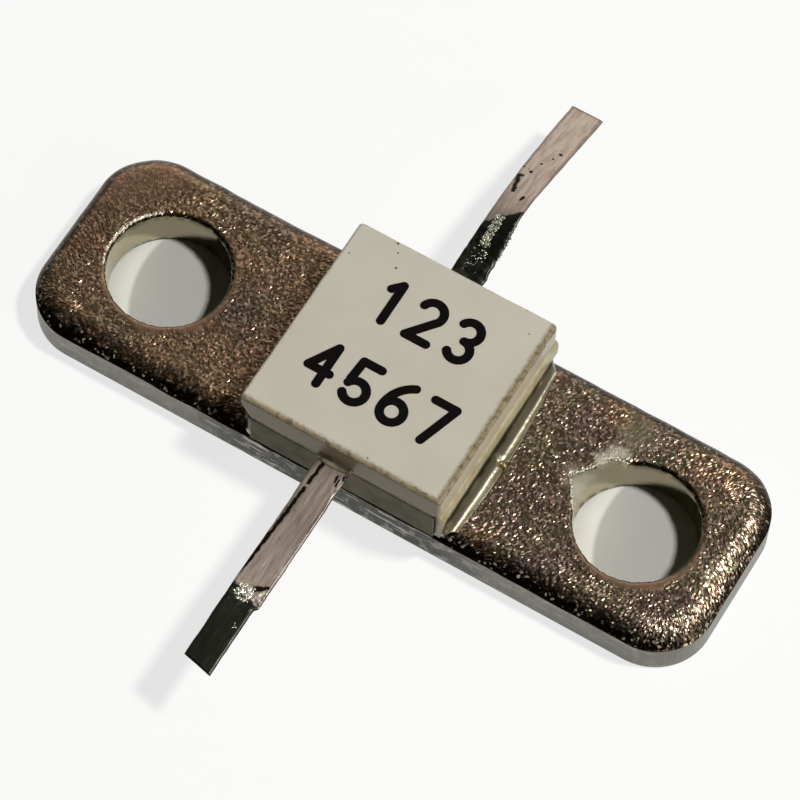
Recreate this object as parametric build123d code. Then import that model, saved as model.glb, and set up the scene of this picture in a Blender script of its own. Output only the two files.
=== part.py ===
from build123d import *
import os
from math import cos, radians, sin

# Flange mount RF attenuator. Millimetres, +Z up, the flange's underside at z = 0.
# +X runs along the flange and +Y towards the rear lead.

# Mounting flange, a punched plate with rolled-over top edges
FLANGE_LENGTH = 20.0
FLANGE_WIDTH = 6.0
FLANGE_THICKNESS = 1.3
FLANGE_CORNER_RADIUS = 1.6
FLANGE_TOP_ROUND = 0.3
FLANGE_BOTTOM_ROUND = 0.06
HOLE_DIAMETER = 3.3
HOLE_FROM_END = 2.95
HOLE_TOP_ROUND = 0.15

# Torn rim on the right hole, a leaning bite out of its upper left wall
TEAR_REACH = 0.45
TEAR_RADIUS = 1.1
TEAR_DIRECTION = 157.0

# Ceramic chip, soldered a little forward and to the right of the flange's centre
CHIP_LENGTH = 5.4
CHIP_DEPTH = 6.0
CHIP_THICKNESS = 1.0
CHIP_SHIFT_X = 0.11
CHIP_SHIFT_Y = -0.13
FILM = 0.02

# Solder under the chip and its fillets at the two ends
SOLDER_THICKNESS = 0.12
FILLET_WALL = 0.17
FILLET_FOOT = 0.60
FILLET_WALL_TOP = 0.28
FILLET_WALL_BOTTOM = 0.75
FILLET_SAG = 0.10
SOLDER_SETBACK = 0.05
FLAT_CLEARANCE = 0.02

# Circuit on the chip
GROUND_PAD_LENGTH = 0.6
PAD_MARGIN = 0.15
LEAD_PAD_LENGTH = 1.2
LEAD_PAD_DEPTH = 1.4
SERIES_WIDTH = 0.7
SHUNT_DEPTH = 0.6
SHUNT_SETBACK = 0.5
RESISTOR_FILM = 0.012
GLAZE_THICKNESS = 0.035
GLAZE_MARGIN = 0.3

# Cover and the adhesive that fills the space under it
COVER_LENGTH = 5.9
COVER_THICKNESS = 0.75
COVER_SHIFT_X = 0.03
COVER_EDGE_ROUND = 0.05
ADHESIVE_THICKNESS = 0.16
ADHESIVE_SETBACK = 0.03
BEAD_RADIUS = 0.12
CHIPPED_CORNER_LENGTH = 0.30
CHIPPED_CORNER_HEIGHT = 0.52
CHIPPED_CORNER_DEPTH = 0.40

# Leads
LEAD_WIDTH = 0.95
LEAD_THICKNESS = 0.10
LEAD_SOLDER = 0.02
LEAD_OVERLAP = 1.1
FRONT_LEAD_X = -0.07
REAR_LEAD_X = 0.06
FRONT_TIP_SKEW = 11.0

# Stations of each lead: distance from the cover, rise, roll in degrees
FRONT_LEAD_BENDS = [(0.4, 0.0, 0), (2.0, -0.04, -2), (4.2, 0.02, 3), (5.2, 0.0, 1), (6.7, -0.03, 0)]
REAR_LEAD_BENDS = [
    (0.35, 0.02, 0),
    (1.2, 0.16, -8),
    (1.9, 0.32, -18),
    (2.4, 0.39, -23),
    (3.0, 0.33, -21),
    (4.2, 0.0, -12),
    (5.5, -0.42, -5),
    (6.8, -0.90, 0),
]

# Printed marking: plain numerals in two rows
INK_THICKNESS = 0.015
STROKE_WIDTH = 0.24
NUMERAL_WIDTH = 0.62
NUMERAL_HEIGHT = 1.18
NUMERAL_PITCH = 1.1
MARKING_SHIFT_X = 0.04
UPPER_ROW_Y = 1.20
LOWER_ROW_Y = -1.21
UPPER_ROW = tuple("123")
LOWER_ROW = tuple("4567")

# Middle of one screw hole to the middle of the other
HOLE_PITCH = FLANGE_LENGTH - 2 * HOLE_FROM_END

# Levels
CHIP_UNDERSIDE = FLANGE_THICKNESS + SOLDER_THICKNESS
CHIP_BASE = CHIP_UNDERSIDE + FILM
CHIP_TOP = CHIP_BASE + CHIP_THICKNESS
PAD_TOP = CHIP_TOP + FILM
LEAD_BASE = PAD_TOP + LEAD_SOLDER
LEAD_TOP = LEAD_BASE + LEAD_THICKNESS
COVER_BASE = CHIP_TOP + ADHESIVE_THICKNESS
COVER_TOP = COVER_BASE + COVER_THICKNESS

# Edges of the chip and of the circuit
CHIP_LEFT = CHIP_SHIFT_X - CHIP_LENGTH / 2
CHIP_RIGHT = CHIP_SHIFT_X + CHIP_LENGTH / 2
CHIP_FRONT = CHIP_SHIFT_Y - CHIP_DEPTH / 2
CHIP_REAR = CHIP_SHIFT_Y + CHIP_DEPTH / 2
WRAP_LEFT = CHIP_LEFT - FILM
WRAP_RIGHT = CHIP_RIGHT + FILM
GROUND_LEFT = CHIP_LEFT + GROUND_PAD_LENGTH
GROUND_RIGHT = CHIP_RIGHT - GROUND_PAD_LENGTH
PAD_FRONT = CHIP_FRONT + PAD_MARGIN
PAD_REAR = CHIP_REAR - PAD_MARGIN
COVER_LEFT = COVER_SHIFT_X - COVER_LENGTH / 2


def block(x_low, x_high, y_low, y_high, z_low, z_high):
    """Box between two opposite corners."""
    size = (x_high - x_low, y_high - y_low, z_high - z_low)
    middle = ((x_low + x_high) / 2, (y_low + y_high) / 2, (z_low + z_high) / 2)
    return Pos(*middle) * Box(*size)


def mounting_flange():
    """Punched plate with two screw holes and rolled-over top edges."""
    outline = RectangleRounded(FLANGE_LENGTH, FLANGE_WIDTH, FLANGE_CORNER_RADIUS)
    plate = extrude(outline, FLANGE_THICKNESS)
    plate = fillet(plate.faces().sort_by(Axis.Z)[-1].edges(), FLANGE_TOP_ROUND)
    plate = fillet(plate.faces().sort_by(Axis.Z)[0].edges(), FLANGE_BOTTOM_ROUND)
    for side in (-1, 1):
        hole = Cylinder(HOLE_DIAMETER / 2, 3 * FLANGE_THICKNESS)
        plate -= Pos(side * HOLE_PITCH / 2, 0, 0) * hole
    rims = plate.faces().sort_by(Axis.Z)[-1].edges().filter_by(GeomType.CIRCLE)
    rims = rims.filter_by(lambda edge: abs(edge.radius - HOLE_DIAMETER / 2) < 1e-6)
    plate = fillet(rims, HOLE_TOP_ROUND)
    return plate - torn_rim()


def torn_rim():
    """Leaning cutter that meets the hole's lower rim and reaches out at the top face."""
    inner = HOLE_DIAMETER / 2 - TEAR_RADIUS
    foot = Pos(inner, 0, 0) * Circle(TEAR_RADIUS)
    crown = Pos(inner + TEAR_REACH, 0, FLANGE_THICKNESS) * Circle(TEAR_RADIUS)
    cutter = loft([foot.face(), crown.face()])
    place = Pos(HOLE_PITCH / 2, 0, 0) * Rot(0, 0, TEAR_DIRECTION)
    return place * cutter


def fillet_outline(wrap_x, outward):
    """Points of one end fillet from the chip's wrap down to its foot on the flange."""
    wall_x = wrap_x + outward * FILLET_WALL
    foot_x = wrap_x + outward * FILLET_FOOT
    wall_top = CHIP_TOP - FILLET_WALL_TOP
    wall_bottom = CHIP_TOP - FILLET_WALL_BOTTOM
    face = Polyline((wrap_x, CHIP_TOP), (wall_x, wall_top), (wall_x, wall_bottom))
    meniscus = SagittaArc((wall_x, wall_bottom), (foot_x, FLANGE_THICKNESS), -outward * FILLET_SAG)
    return face, meniscus


def base_solder():
    """Solder layer under the chip with a fillet up each metallised end."""
    left_face, left_meniscus = fillet_outline(WRAP_LEFT, -1)
    right_face, right_meniscus = fillet_outline(WRAP_RIGHT, 1)
    seat = Polyline(
        (WRAP_LEFT, CHIP_TOP),
        (WRAP_LEFT, CHIP_UNDERSIDE),
        (WRAP_RIGHT, CHIP_UNDERSIDE),
        (WRAP_RIGHT, CHIP_TOP),
    )
    sole = Line(left_meniscus @ 1, right_meniscus @ 1)
    section = make_face([*left_face.edges(), left_meniscus, *seat.edges(), *right_face.edges(), right_meniscus, sole])
    length = extrude(Plane.XZ * section, CHIP_DEPTH, both=True)
    flat = FLANGE_WIDTH / 2 - FLANGE_TOP_ROUND - FLAT_CLEARANCE
    front = CHIP_FRONT + SOLDER_SETBACK
    rear = CHIP_REAR - SOLDER_SETBACK
    trim = Polyline(
        (-flat, FLANGE_THICKNESS),
        (front, CHIP_UNDERSIDE),
        (front, CHIP_TOP),
        (rear, CHIP_TOP),
        (rear, CHIP_UNDERSIDE),
        (flat, FLANGE_THICKNESS),
        close=True,
    )
    side = extrude(Plane.YZ * make_face(trim), FLANGE_LENGTH / 2, both=True)
    return length & side


def back_metallization():
    """Fired metal film on the chip's underside."""
    return block(CHIP_LEFT, CHIP_RIGHT, CHIP_FRONT, CHIP_REAR, CHIP_UNDERSIDE, CHIP_BASE)


def ceramic_substrate():
    """Ceramic chip that carries the circuit."""
    return block(CHIP_LEFT, CHIP_RIGHT, CHIP_FRONT, CHIP_REAR, CHIP_BASE, CHIP_TOP)


def edge_metallization(outer_x, inner_x):
    """Ground film round one end of the chip."""
    return block(outer_x, inner_x, CHIP_FRONT, CHIP_REAR, CHIP_UNDERSIDE, PAD_TOP)


def ground_pad(x_low, x_high):
    """Ground conductor along one end of the chip."""
    return block(x_low, x_high, PAD_FRONT, PAD_REAR, CHIP_TOP, PAD_TOP)


def lead_pad(lead_x, edge_y, inward):
    """Conductor pad under one lead, starting at the edge nearest the lead's exit."""
    far_y = edge_y + inward * LEAD_PAD_DEPTH
    half = LEAD_PAD_LENGTH / 2
    return block(lead_x - half, lead_x + half, min(edge_y, far_y), max(edge_y, far_y), CHIP_TOP, PAD_TOP)


def series_resistor():
    """Resistor film between the two lead pads."""
    middle_x = (FRONT_LEAD_X + REAR_LEAD_X) / 2
    low_y = PAD_FRONT + LEAD_PAD_DEPTH
    high_y = PAD_REAR - LEAD_PAD_DEPTH
    half = SERIES_WIDTH / 2
    return block(middle_x - half, middle_x + half, low_y, high_y, CHIP_TOP, CHIP_TOP + RESISTOR_FILM)


def shunt_resistor(ground_x, lead_x, outward, edge_y, inward):
    """Resistor film from a lead pad sideways to a ground pad."""
    pad_x = lead_x + outward * LEAD_PAD_LENGTH / 2
    near_y = edge_y + inward * SHUNT_SETBACK
    far_y = near_y + inward * SHUNT_DEPTH
    x_span = sorted((ground_x, pad_x))
    y_span = sorted((near_y, far_y))
    return block(*x_span, *y_span, CHIP_TOP, CHIP_TOP + RESISTOR_FILM)


def resistor_glaze(resistors, lead_pads):
    """Glass coat over the resistor films, left open over the lead pads."""
    coat = block(
        GROUND_LEFT,
        GROUND_RIGHT,
        PAD_FRONT + GLAZE_MARGIN,
        PAD_REAR - GLAZE_MARGIN,
        CHIP_TOP,
        CHIP_TOP + GLAZE_THICKNESS,
    )
    for film in resistors:
        coat -= film
    for pad in lead_pads:
        box = pad.bounding_box()
        coat -= block(box.min.X, box.max.X, box.min.Y, box.max.Y, CHIP_TOP, COVER_BASE)
    return coat


def lead_strip(lead_x, edge_y, outward, bends):
    """Flat tape from its pad, out under the cover and along its bends."""
    exit_z = (LEAD_BASE + LEAD_TOP) / 2
    stations = [(-LEAD_OVERLAP, 0.0, 0), *bends]
    sections = []
    for distance, rise, roll in stations:
        across = (cos(radians(roll)), 0, -sin(radians(roll)))
        origin = (lead_x, edge_y + outward * distance, exit_z + rise)
        place = Plane(origin=origin, x_dir=across, z_dir=(0, outward, 0))
        sections.append((place * Rectangle(LEAD_WIDTH, LEAD_THICKNESS)).face())
    return loft(sections, ruled=True)


def front_lead():
    """Lead on the front side, cut off a little askew."""
    strip = lead_strip(FRONT_LEAD_X, CHIP_FRONT, -1, FRONT_LEAD_BENDS)
    middle = FRONT_LEAD_BENDS[-1][0] - LEAD_WIDTH * sin(radians(FRONT_TIP_SKEW))
    normal = (-sin(radians(FRONT_TIP_SKEW)), -cos(radians(FRONT_TIP_SKEW)), 0)
    cut = Plane(origin=(FRONT_LEAD_X, CHIP_FRONT - middle, LEAD_BASE), z_dir=normal)
    return split(strip, bisect_by=cut, keep=Keep.BOTTOM)


def rear_lead():
    """Lead on the rear side, raised and rolled near the body and drooping to its tip."""
    return lead_strip(REAR_LEAD_X, CHIP_REAR, 1, REAR_LEAD_BENDS)


def lead_solder(lead_x, edge_y, inward):
    """Thin solder joint between a lead and its pad, a little short of the lead's end."""
    near_y = edge_y + inward * PAD_MARGIN
    far_y = edge_y + inward * (LEAD_OVERLAP - SOLDER_SETBACK)
    half = LEAD_WIDTH / 2
    return block(lead_x - half, lead_x + half, min(near_y, far_y), max(near_y, far_y), PAD_TOP, LEAD_BASE)


def exit_bead(lead_x, edge_y, outward):
    """Bead of adhesive on a lead where it leaves the cover."""
    tip = edge_y + outward * BEAD_RADIUS
    slope = cos(radians(45)) * BEAD_RADIUS
    profile = [
        Line((edge_y, LEAD_TOP), (tip, LEAD_TOP)),
        ThreePointArc(
            (tip, LEAD_TOP),
            (edge_y + outward * slope, LEAD_TOP + slope),
            (edge_y, LEAD_TOP + BEAD_RADIUS),
        ),
        Line((edge_y, LEAD_TOP + BEAD_RADIUS), (edge_y, LEAD_TOP)),
    ]
    bead = extrude(Plane.YZ * make_face(profile), LEAD_WIDTH / 2, both=True)
    return Pos(lead_x, 0, 0) * bead


def cover_adhesive(buried):
    """Adhesive between chip and cover, shaped by everything that lies in it."""
    fill = block(
        WRAP_LEFT,
        WRAP_RIGHT,
        CHIP_FRONT + ADHESIVE_SETBACK,
        CHIP_REAR - ADHESIVE_SETBACK,
        CHIP_TOP,
        COVER_BASE,
    )
    tongue = LEAD_TOP - FILM
    for lead_x, edge_y, outward in ((FRONT_LEAD_X, CHIP_FRONT, -1), (REAR_LEAD_X, CHIP_REAR, 1)):
        inner_y = edge_y - outward * ADHESIVE_SETBACK
        half = LEAD_WIDTH / 2
        y_span = sorted((inner_y, edge_y))
        fill += block(lead_x - half, lead_x + half, *y_span, tongue, COVER_BASE)
        fill += exit_bead(lead_x, edge_y, outward)
    for piece in buried:
        fill -= piece
    return fill


def ceramic_cover():
    """Flat ceramic lid with a chipped lower front corner."""
    cover_right = COVER_LEFT + COVER_LENGTH
    lid = block(COVER_LEFT, cover_right, CHIP_FRONT, CHIP_REAR, COVER_BASE, COVER_TOP)
    lid = fillet(lid.faces().sort_by(Axis.Z)[-1].edges(), COVER_EDGE_ROUND)
    corner = Vector(COVER_LEFT, CHIP_FRONT, COVER_BASE)
    along = corner + Vector(CHIPPED_CORNER_LENGTH, 0, 0)
    up = corner + Vector(0, 0, CHIPPED_CORNER_HEIGHT)
    back = corner + Vector(0, CHIPPED_CORNER_DEPTH, 0)
    outside = (up - along).cross(back - along)
    if outside.dot(corner - along) < 0:
        outside = outside * -1
    return split(lid, bisect_by=Plane(origin=along, z_dir=outside), keep=Keep.BOTTOM)


def numeral_strokes():
    """Centre lines of the plain numerals, in a cell centred on the origin."""
    w = NUMERAL_WIDTH / 2
    h = NUMERAL_HEIGHT / 2
    bowl = h / 2
    return {
        "1": [Polyline((-w / 2, h * 0.6), (w / 4, h), (w / 4, -h))],
        "2": [CenterArc((0, h - w), w, 160, -190), Polyline(polar(w, -30, 0, h - w), (-w, -h), (w, -h))],
        "3": [CenterArc((0, bowl), bowl, 150, -240), CenterArc((0, -bowl), bowl, 90, -240)],
        "4": [Polyline((w / 2, -h), (w / 2, h), (-w, -h / 3), (w, -h / 3))],
        "5": [Polyline((w, h), (-w * 0.7, h), (-w * 0.85, 0.0)), CenterArc((0, w - h), w, 150, -300)],
        "6": [CenterArc((0, w - h), w, 0, 360), ThreePointArc((-w, w - h), (-w / 2, h * 0.45), (w * 0.7, h))],
        "7": [Polyline((-w, h), (w, h), (-w / 4, -h))],
    }


def polar(radius, angle, centre_x, centre_y):
    """Point on a circle."""
    return (centre_x + radius * cos(radians(angle)), centre_y + radius * sin(radians(angle)))


def inked(stroke):
    """Round-ended ink lines along the edges of one stroke."""
    if stroke.is_closed:
        radius = stroke.edges()[0].radius
        centre = stroke.edges()[0].arc_center
        ring = Circle(radius + STROKE_WIDTH / 2) - Circle(radius - STROKE_WIDTH / 2)
        return Pos(centre.X, centre.Y) * ring
    lines = Sketch()
    for edge in stroke.edges():
        lines += Face(Wire([edge]).offset_2d(STROKE_WIDTH / 2))
    return lines


def marking():
    """Two rows of plain numerals, each numeral its own patch of ink."""
    strokes = numeral_strokes()
    numerals = []
    for row, row_y in ((UPPER_ROW, UPPER_ROW_Y), (LOWER_ROW, LOWER_ROW_Y)):
        first_x = MARKING_SHIFT_X - (len(row) - 1) * NUMERAL_PITCH / 2
        for place, numeral in enumerate(row):
            shape = Sketch()
            for stroke in strokes[numeral]:
                shape += inked(stroke)
            at = Pos(first_x + place * NUMERAL_PITCH, row_y, COVER_TOP)
            numerals.append(at * extrude(shape, INK_THICKNESS))
    return Compound(children=numerals)


def circuit():
    """Fired films on the chip by name."""
    films = {
        "left_edge_metallization": edge_metallization(WRAP_LEFT, CHIP_LEFT),
        "right_edge_metallization": edge_metallization(CHIP_RIGHT, WRAP_RIGHT),
        "left_ground_pad": ground_pad(CHIP_LEFT, GROUND_LEFT),
        "right_ground_pad": ground_pad(GROUND_RIGHT, CHIP_RIGHT),
    }
    pads = {
        "front_pad": lead_pad(FRONT_LEAD_X, PAD_FRONT, 1),
        "rear_pad": lead_pad(REAR_LEAD_X, PAD_REAR, -1),
    }
    resistors = {"series_resistor": series_resistor()}
    ends = (("front", FRONT_LEAD_X, PAD_FRONT, 1), ("rear", REAR_LEAD_X, PAD_REAR, -1))
    sides = (("left", GROUND_LEFT, -1), ("right", GROUND_RIGHT, 1))
    for end, lead_x, edge_y, inward in ends:
        for side, ground_x, outward in sides:
            film = shunt_resistor(ground_x, lead_x, outward, edge_y, inward)
            resistors[f"{end}_shunt_resistor_{side}"] = film
    glaze = resistor_glaze(resistors.values(), pads.values())
    return {**films, **pads, **resistors, "resistor_glaze": glaze}


def leads():
    """Both leads and the solder joint under each."""
    return {
        "front_lead_solder": lead_solder(FRONT_LEAD_X, CHIP_FRONT, 1),
        "rear_lead_solder": lead_solder(REAR_LEAD_X, CHIP_REAR, -1),
        "front_lead": front_lead(),
        "rear_lead": rear_lead(),
    }


def build_nodes():
    """Every separate piece by name."""
    under_cover = {**circuit(), **leads()}
    return {
        "mounting_flange": mounting_flange(),
        "base_solder": base_solder(),
        "back_metallization": back_metallization(),
        "ceramic_substrate": ceramic_substrate(),
        **under_cover,
        "cover_adhesive": cover_adhesive(under_cover.values()),
        "ceramic_cover": ceramic_cover(),
        "marking": marking(),
    }


def main():
    os.makedirs("parts", exist_ok=True)
    for name, piece in build_nodes().items():
        export_step(piece, f"parts/{name}.step")


main()
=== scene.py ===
"""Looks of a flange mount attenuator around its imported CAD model, laid out as a Blender add-on."""

import math
from collections import namedtuple
from functools import partial
from itertools import pairwise

import bpy
import numpy as np
from bpy.props import FloatProperty, IntProperty, PointerProperty, StringProperty
from mathutils import Matrix, Vector, noise
from mathutils.geometry import delaunay_2d_cdt


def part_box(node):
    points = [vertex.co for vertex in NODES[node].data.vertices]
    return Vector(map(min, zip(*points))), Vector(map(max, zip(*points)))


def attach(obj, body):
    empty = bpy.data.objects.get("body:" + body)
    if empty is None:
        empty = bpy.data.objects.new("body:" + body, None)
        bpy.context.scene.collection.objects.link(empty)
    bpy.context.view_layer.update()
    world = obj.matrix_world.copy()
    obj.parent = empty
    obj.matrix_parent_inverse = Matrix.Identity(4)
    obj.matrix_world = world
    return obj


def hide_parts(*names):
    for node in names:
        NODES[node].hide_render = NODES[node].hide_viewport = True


bl_info = {
    "name": "Flange Mount Attenuator",
    "version": (1, 0, 0),
    "blender": (4, 5, 0),
    "location": "3D View > Sidebar > Attenuator",
    "description": "Builds the surfaces, finishes and stage of a flange mount attenuator",
    "category": "Object",
}

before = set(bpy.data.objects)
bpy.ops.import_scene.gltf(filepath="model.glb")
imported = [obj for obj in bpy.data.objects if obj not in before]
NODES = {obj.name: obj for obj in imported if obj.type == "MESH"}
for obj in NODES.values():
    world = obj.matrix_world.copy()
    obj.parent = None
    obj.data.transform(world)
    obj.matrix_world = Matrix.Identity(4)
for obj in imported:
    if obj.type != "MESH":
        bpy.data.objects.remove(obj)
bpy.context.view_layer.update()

# Sizes are worked in millimetres and turned to metres when a mesh is made
MM = 0.001


def box_mm(name):
    """Lowest and highest corner of a CAD node in millimetres."""
    low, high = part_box(name)
    return np.array(low) / MM, np.array(high) / MM


FLANGE_HIGH = box_mm("mounting_flange")[1]
CHIP_LOW, CHIP_HIGH = box_mm("ceramic_substrate")
LID_LOW, LID_HIGH = box_mm("ceramic_cover")
SOLDER_LOW, SOLDER_HIGH = box_mm("base_solder")
FRONT_LOW = box_mm("front_lead")[0]
REAR_HIGH = box_mm("rear_lead")[1]

# The flange's own sizes, as in the CAD
FLANGE_TOP = FLANGE_HIGH[2]
CORNER_RADIUS = 1.6
BOTTOM_ROUND = 0.06
BURR_HEIGHT = 0.05
HOLE_RADIUS = 1.65
HOLE_X = 7.05
HOLE_ROUND = 0.15
# The torn rim of the right hole: angles in degrees and how far the tear reaches past the wall there
TEAR_ANGLES = (126, 135, 152, 166, 173, 179, 190, 199)
TEAR_REACHES = (0.0, 0.16, 0.22, 0.36, 0.46, 0.30, 0.12, 0.0)
# Kinds of point on the flange
ROLLED, SHEARED, PUNCHED = range(3)

# The die roll of the top edge: crisp where it meets the sheared side, wider along the front and
# widest at the right end
BACK_DEPTH, BACK_RADIUS = 0.29, 0.62
FRONT_DEPTH, FRONT_RADIUS = 0.3, 1.05
SOFT_RADIUS = 1.4
# How far in from the edge the rings of the roll start
ROLL_REACH = 0.95

# Half the width of the white floor, in millimetres
FLOOR_HALF = 400.0

# The lid's upright corners, from back right round to front right, and its chipped lower corner
LID_CORNERS = (0.16, 0.12, 0.11, 0.11)
LID_CHIP = (0.30, 0.40, 0.52)
# How far inside the lid's faces the middle of its broken out grit lies
GRIT_INSET = 0.022

# The solder as in the CAD: the fired film round the chip and the rounded ends of the fillets; the
# drop of solder that pinches the right fillet
FILM = 0.02
FILLET_END = 0.16
BLOB_Y = -0.37

# The leads, as in the CAD: distance from the chip's edge, rise, roll in degrees
TAPE_WIDTH = 0.95
TAPE_THICKNESS = 0.10
TAPE_OVERLAP = 1.1
TAPE_MIDDLE_Z = 2.53
FRONT_TAPE_X = -0.07
REAR_TAPE_X = 0.06
FRONT_SKEW = 11.0
FRONT_BENDS = [(0.4, 0.0, 0), (2.0, -0.04, -2), (4.2, 0.02, 3), (5.2, 0.0, 1), (6.7, -0.03, 0)]
GROOVE_START = -0.25
GROOVE_DRIFT = 0.225 / 4.1
GROOVE_GAP = 0.92
REAR_BENDS = [
    (0.35, 0.02, 0),
    (1.2, 0.16, -8),
    (1.9, 0.32, -18),
    (2.4, 0.39, -23),
    (3.0, 0.33, -21),
    (4.2, 0.0, -12),
    (5.5, -0.42, -5),
    (6.8, -0.90, 0),
]


def linear(colour):
    """A colour written as sRGB hex, as the linear values a shader takes."""
    values = [int(colour[i : i + 2], 16) / 255 for i in (1, 3, 5)]
    return tuple(v / 12.92 if v <= 0.04045 else ((v + 0.055) / 1.055) ** 2.4 for v in values) + (1.0,)


def add_node(tree, kind, inputs=(), settings=None, output=0):
    """Adds a node, sets it and gives back one of the outputs that it shows. Its inputs are filled or
    linked by name, or in the order in which it shows them, and a hex colour is turned linear."""
    made = tree.nodes.new(kind if "Node" in kind else "ShaderNode" + kind)
    for name, value in (settings or {}).items():
        setattr(made, name, value)
    shown = [socket for socket in made.inputs if socket.enabled]
    for name, value in inputs.items() if isinstance(inputs, dict) else enumerate(inputs):
        socket = shown[name] if isinstance(name, int) else made.inputs[name]
        if isinstance(value, bpy.types.NodeSocket):
            tree.links.new(value, socket)
        else:
            socket.default_value = linear(value) if isinstance(value, str) else value
    return made if output is None else [socket for socket in made.outputs if socket.enabled][output]


# Settings that several nodes share
COLOUR = {"data_type": "RGBA"}
MULTIPLY_COLOUR = {"data_type": "RGBA", "blend_type": "MULTIPLY"}
SMOOTH = {"interpolation_type": "SMOOTHSTEP"}
MULTIPLY = {"operation": "MULTIPLY"}
MULTIPLY_ADD = {"operation": "MULTIPLY_ADD"}
SUBTRACT = {"operation": "SUBTRACT"}
ABSOLUTE = {"operation": "ABSOLUTE"}
LARGER = {"operation": "MAXIMUM"}
DISTANCE = {"operation": "DISTANCE"}


def start_material(name):
    """A new material, its node adder, and Object coordinates counted in millimetres."""
    material = bpy.data.materials.new(name)
    material.use_nodes = True
    material.node_tree.nodes.clear()
    add = partial(add_node, material.node_tree)
    place = add("TexCoord", output=3)
    millimetres = add("Mapping", {"Vector": place, "Scale": (1 / MM,) * 3})
    return material, add, millimetres


def end_material(add, inputs):
    """Ends a material in one Principled shader."""
    add("OutputMaterial", {"Surface": add("BsdfPrincipled", inputs)}, output=None)


def dress(obj, material):
    """Gives a piece or a CAD node one material."""
    obj.data.materials.clear()
    obj.data.materials.append(material)


def mesh_piece(name, vertices_mm, faces, material, smooth=True):
    """A mesh object at the origin from millimetre vertices."""
    mesh = bpy.data.meshes.new(name)
    mesh.from_pydata([tuple(c * MM for c in v) for v in vertices_mm], [], faces)
    mesh.validate()
    piece = bpy.data.objects.new(name, mesh)
    bpy.context.scene.collection.objects.link(piece)
    mesh.materials.append(material)
    mesh.polygons.foreach_set("use_smooth", np.resize(np.array(smooth, bool), len(mesh.polygons)))
    return piece


def keep_piece(piece, slot, *stands_for):
    """Rides a finished piece on the body and hides the CAD nodes it stands for; the slot is not used."""
    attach(piece, "root")
    if stands_for:
        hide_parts(*stands_for)


def random_at(position, octaves=2):
    """Smooth repeatable noise from about -1 to 1 at a point."""
    return noise.fractal(Vector(position), 1.0, 2.0, octaves, noise_basis="PERLIN_ORIGINAL")


def random_over(points, scale, level, octaves=3):
    """The same noise at many points seen from above, spread by the scale."""
    return np.array([random_at((x * scale, y * scale, level), octaves) for x, y in points])


def circle(angles):
    """Points of the unit circle at angles in radians."""
    return np.stack([np.cos(angles), np.sin(angles)], 1)


def ease(value, low, high):
    """0 below low, 1 above high, smooth between; works on numbers and arrays."""
    t = np.clip((np.asarray(value, float) - low) / (high - low), 0, 1)
    return t * t * (3 - 2 * t)


# Finishes


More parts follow.
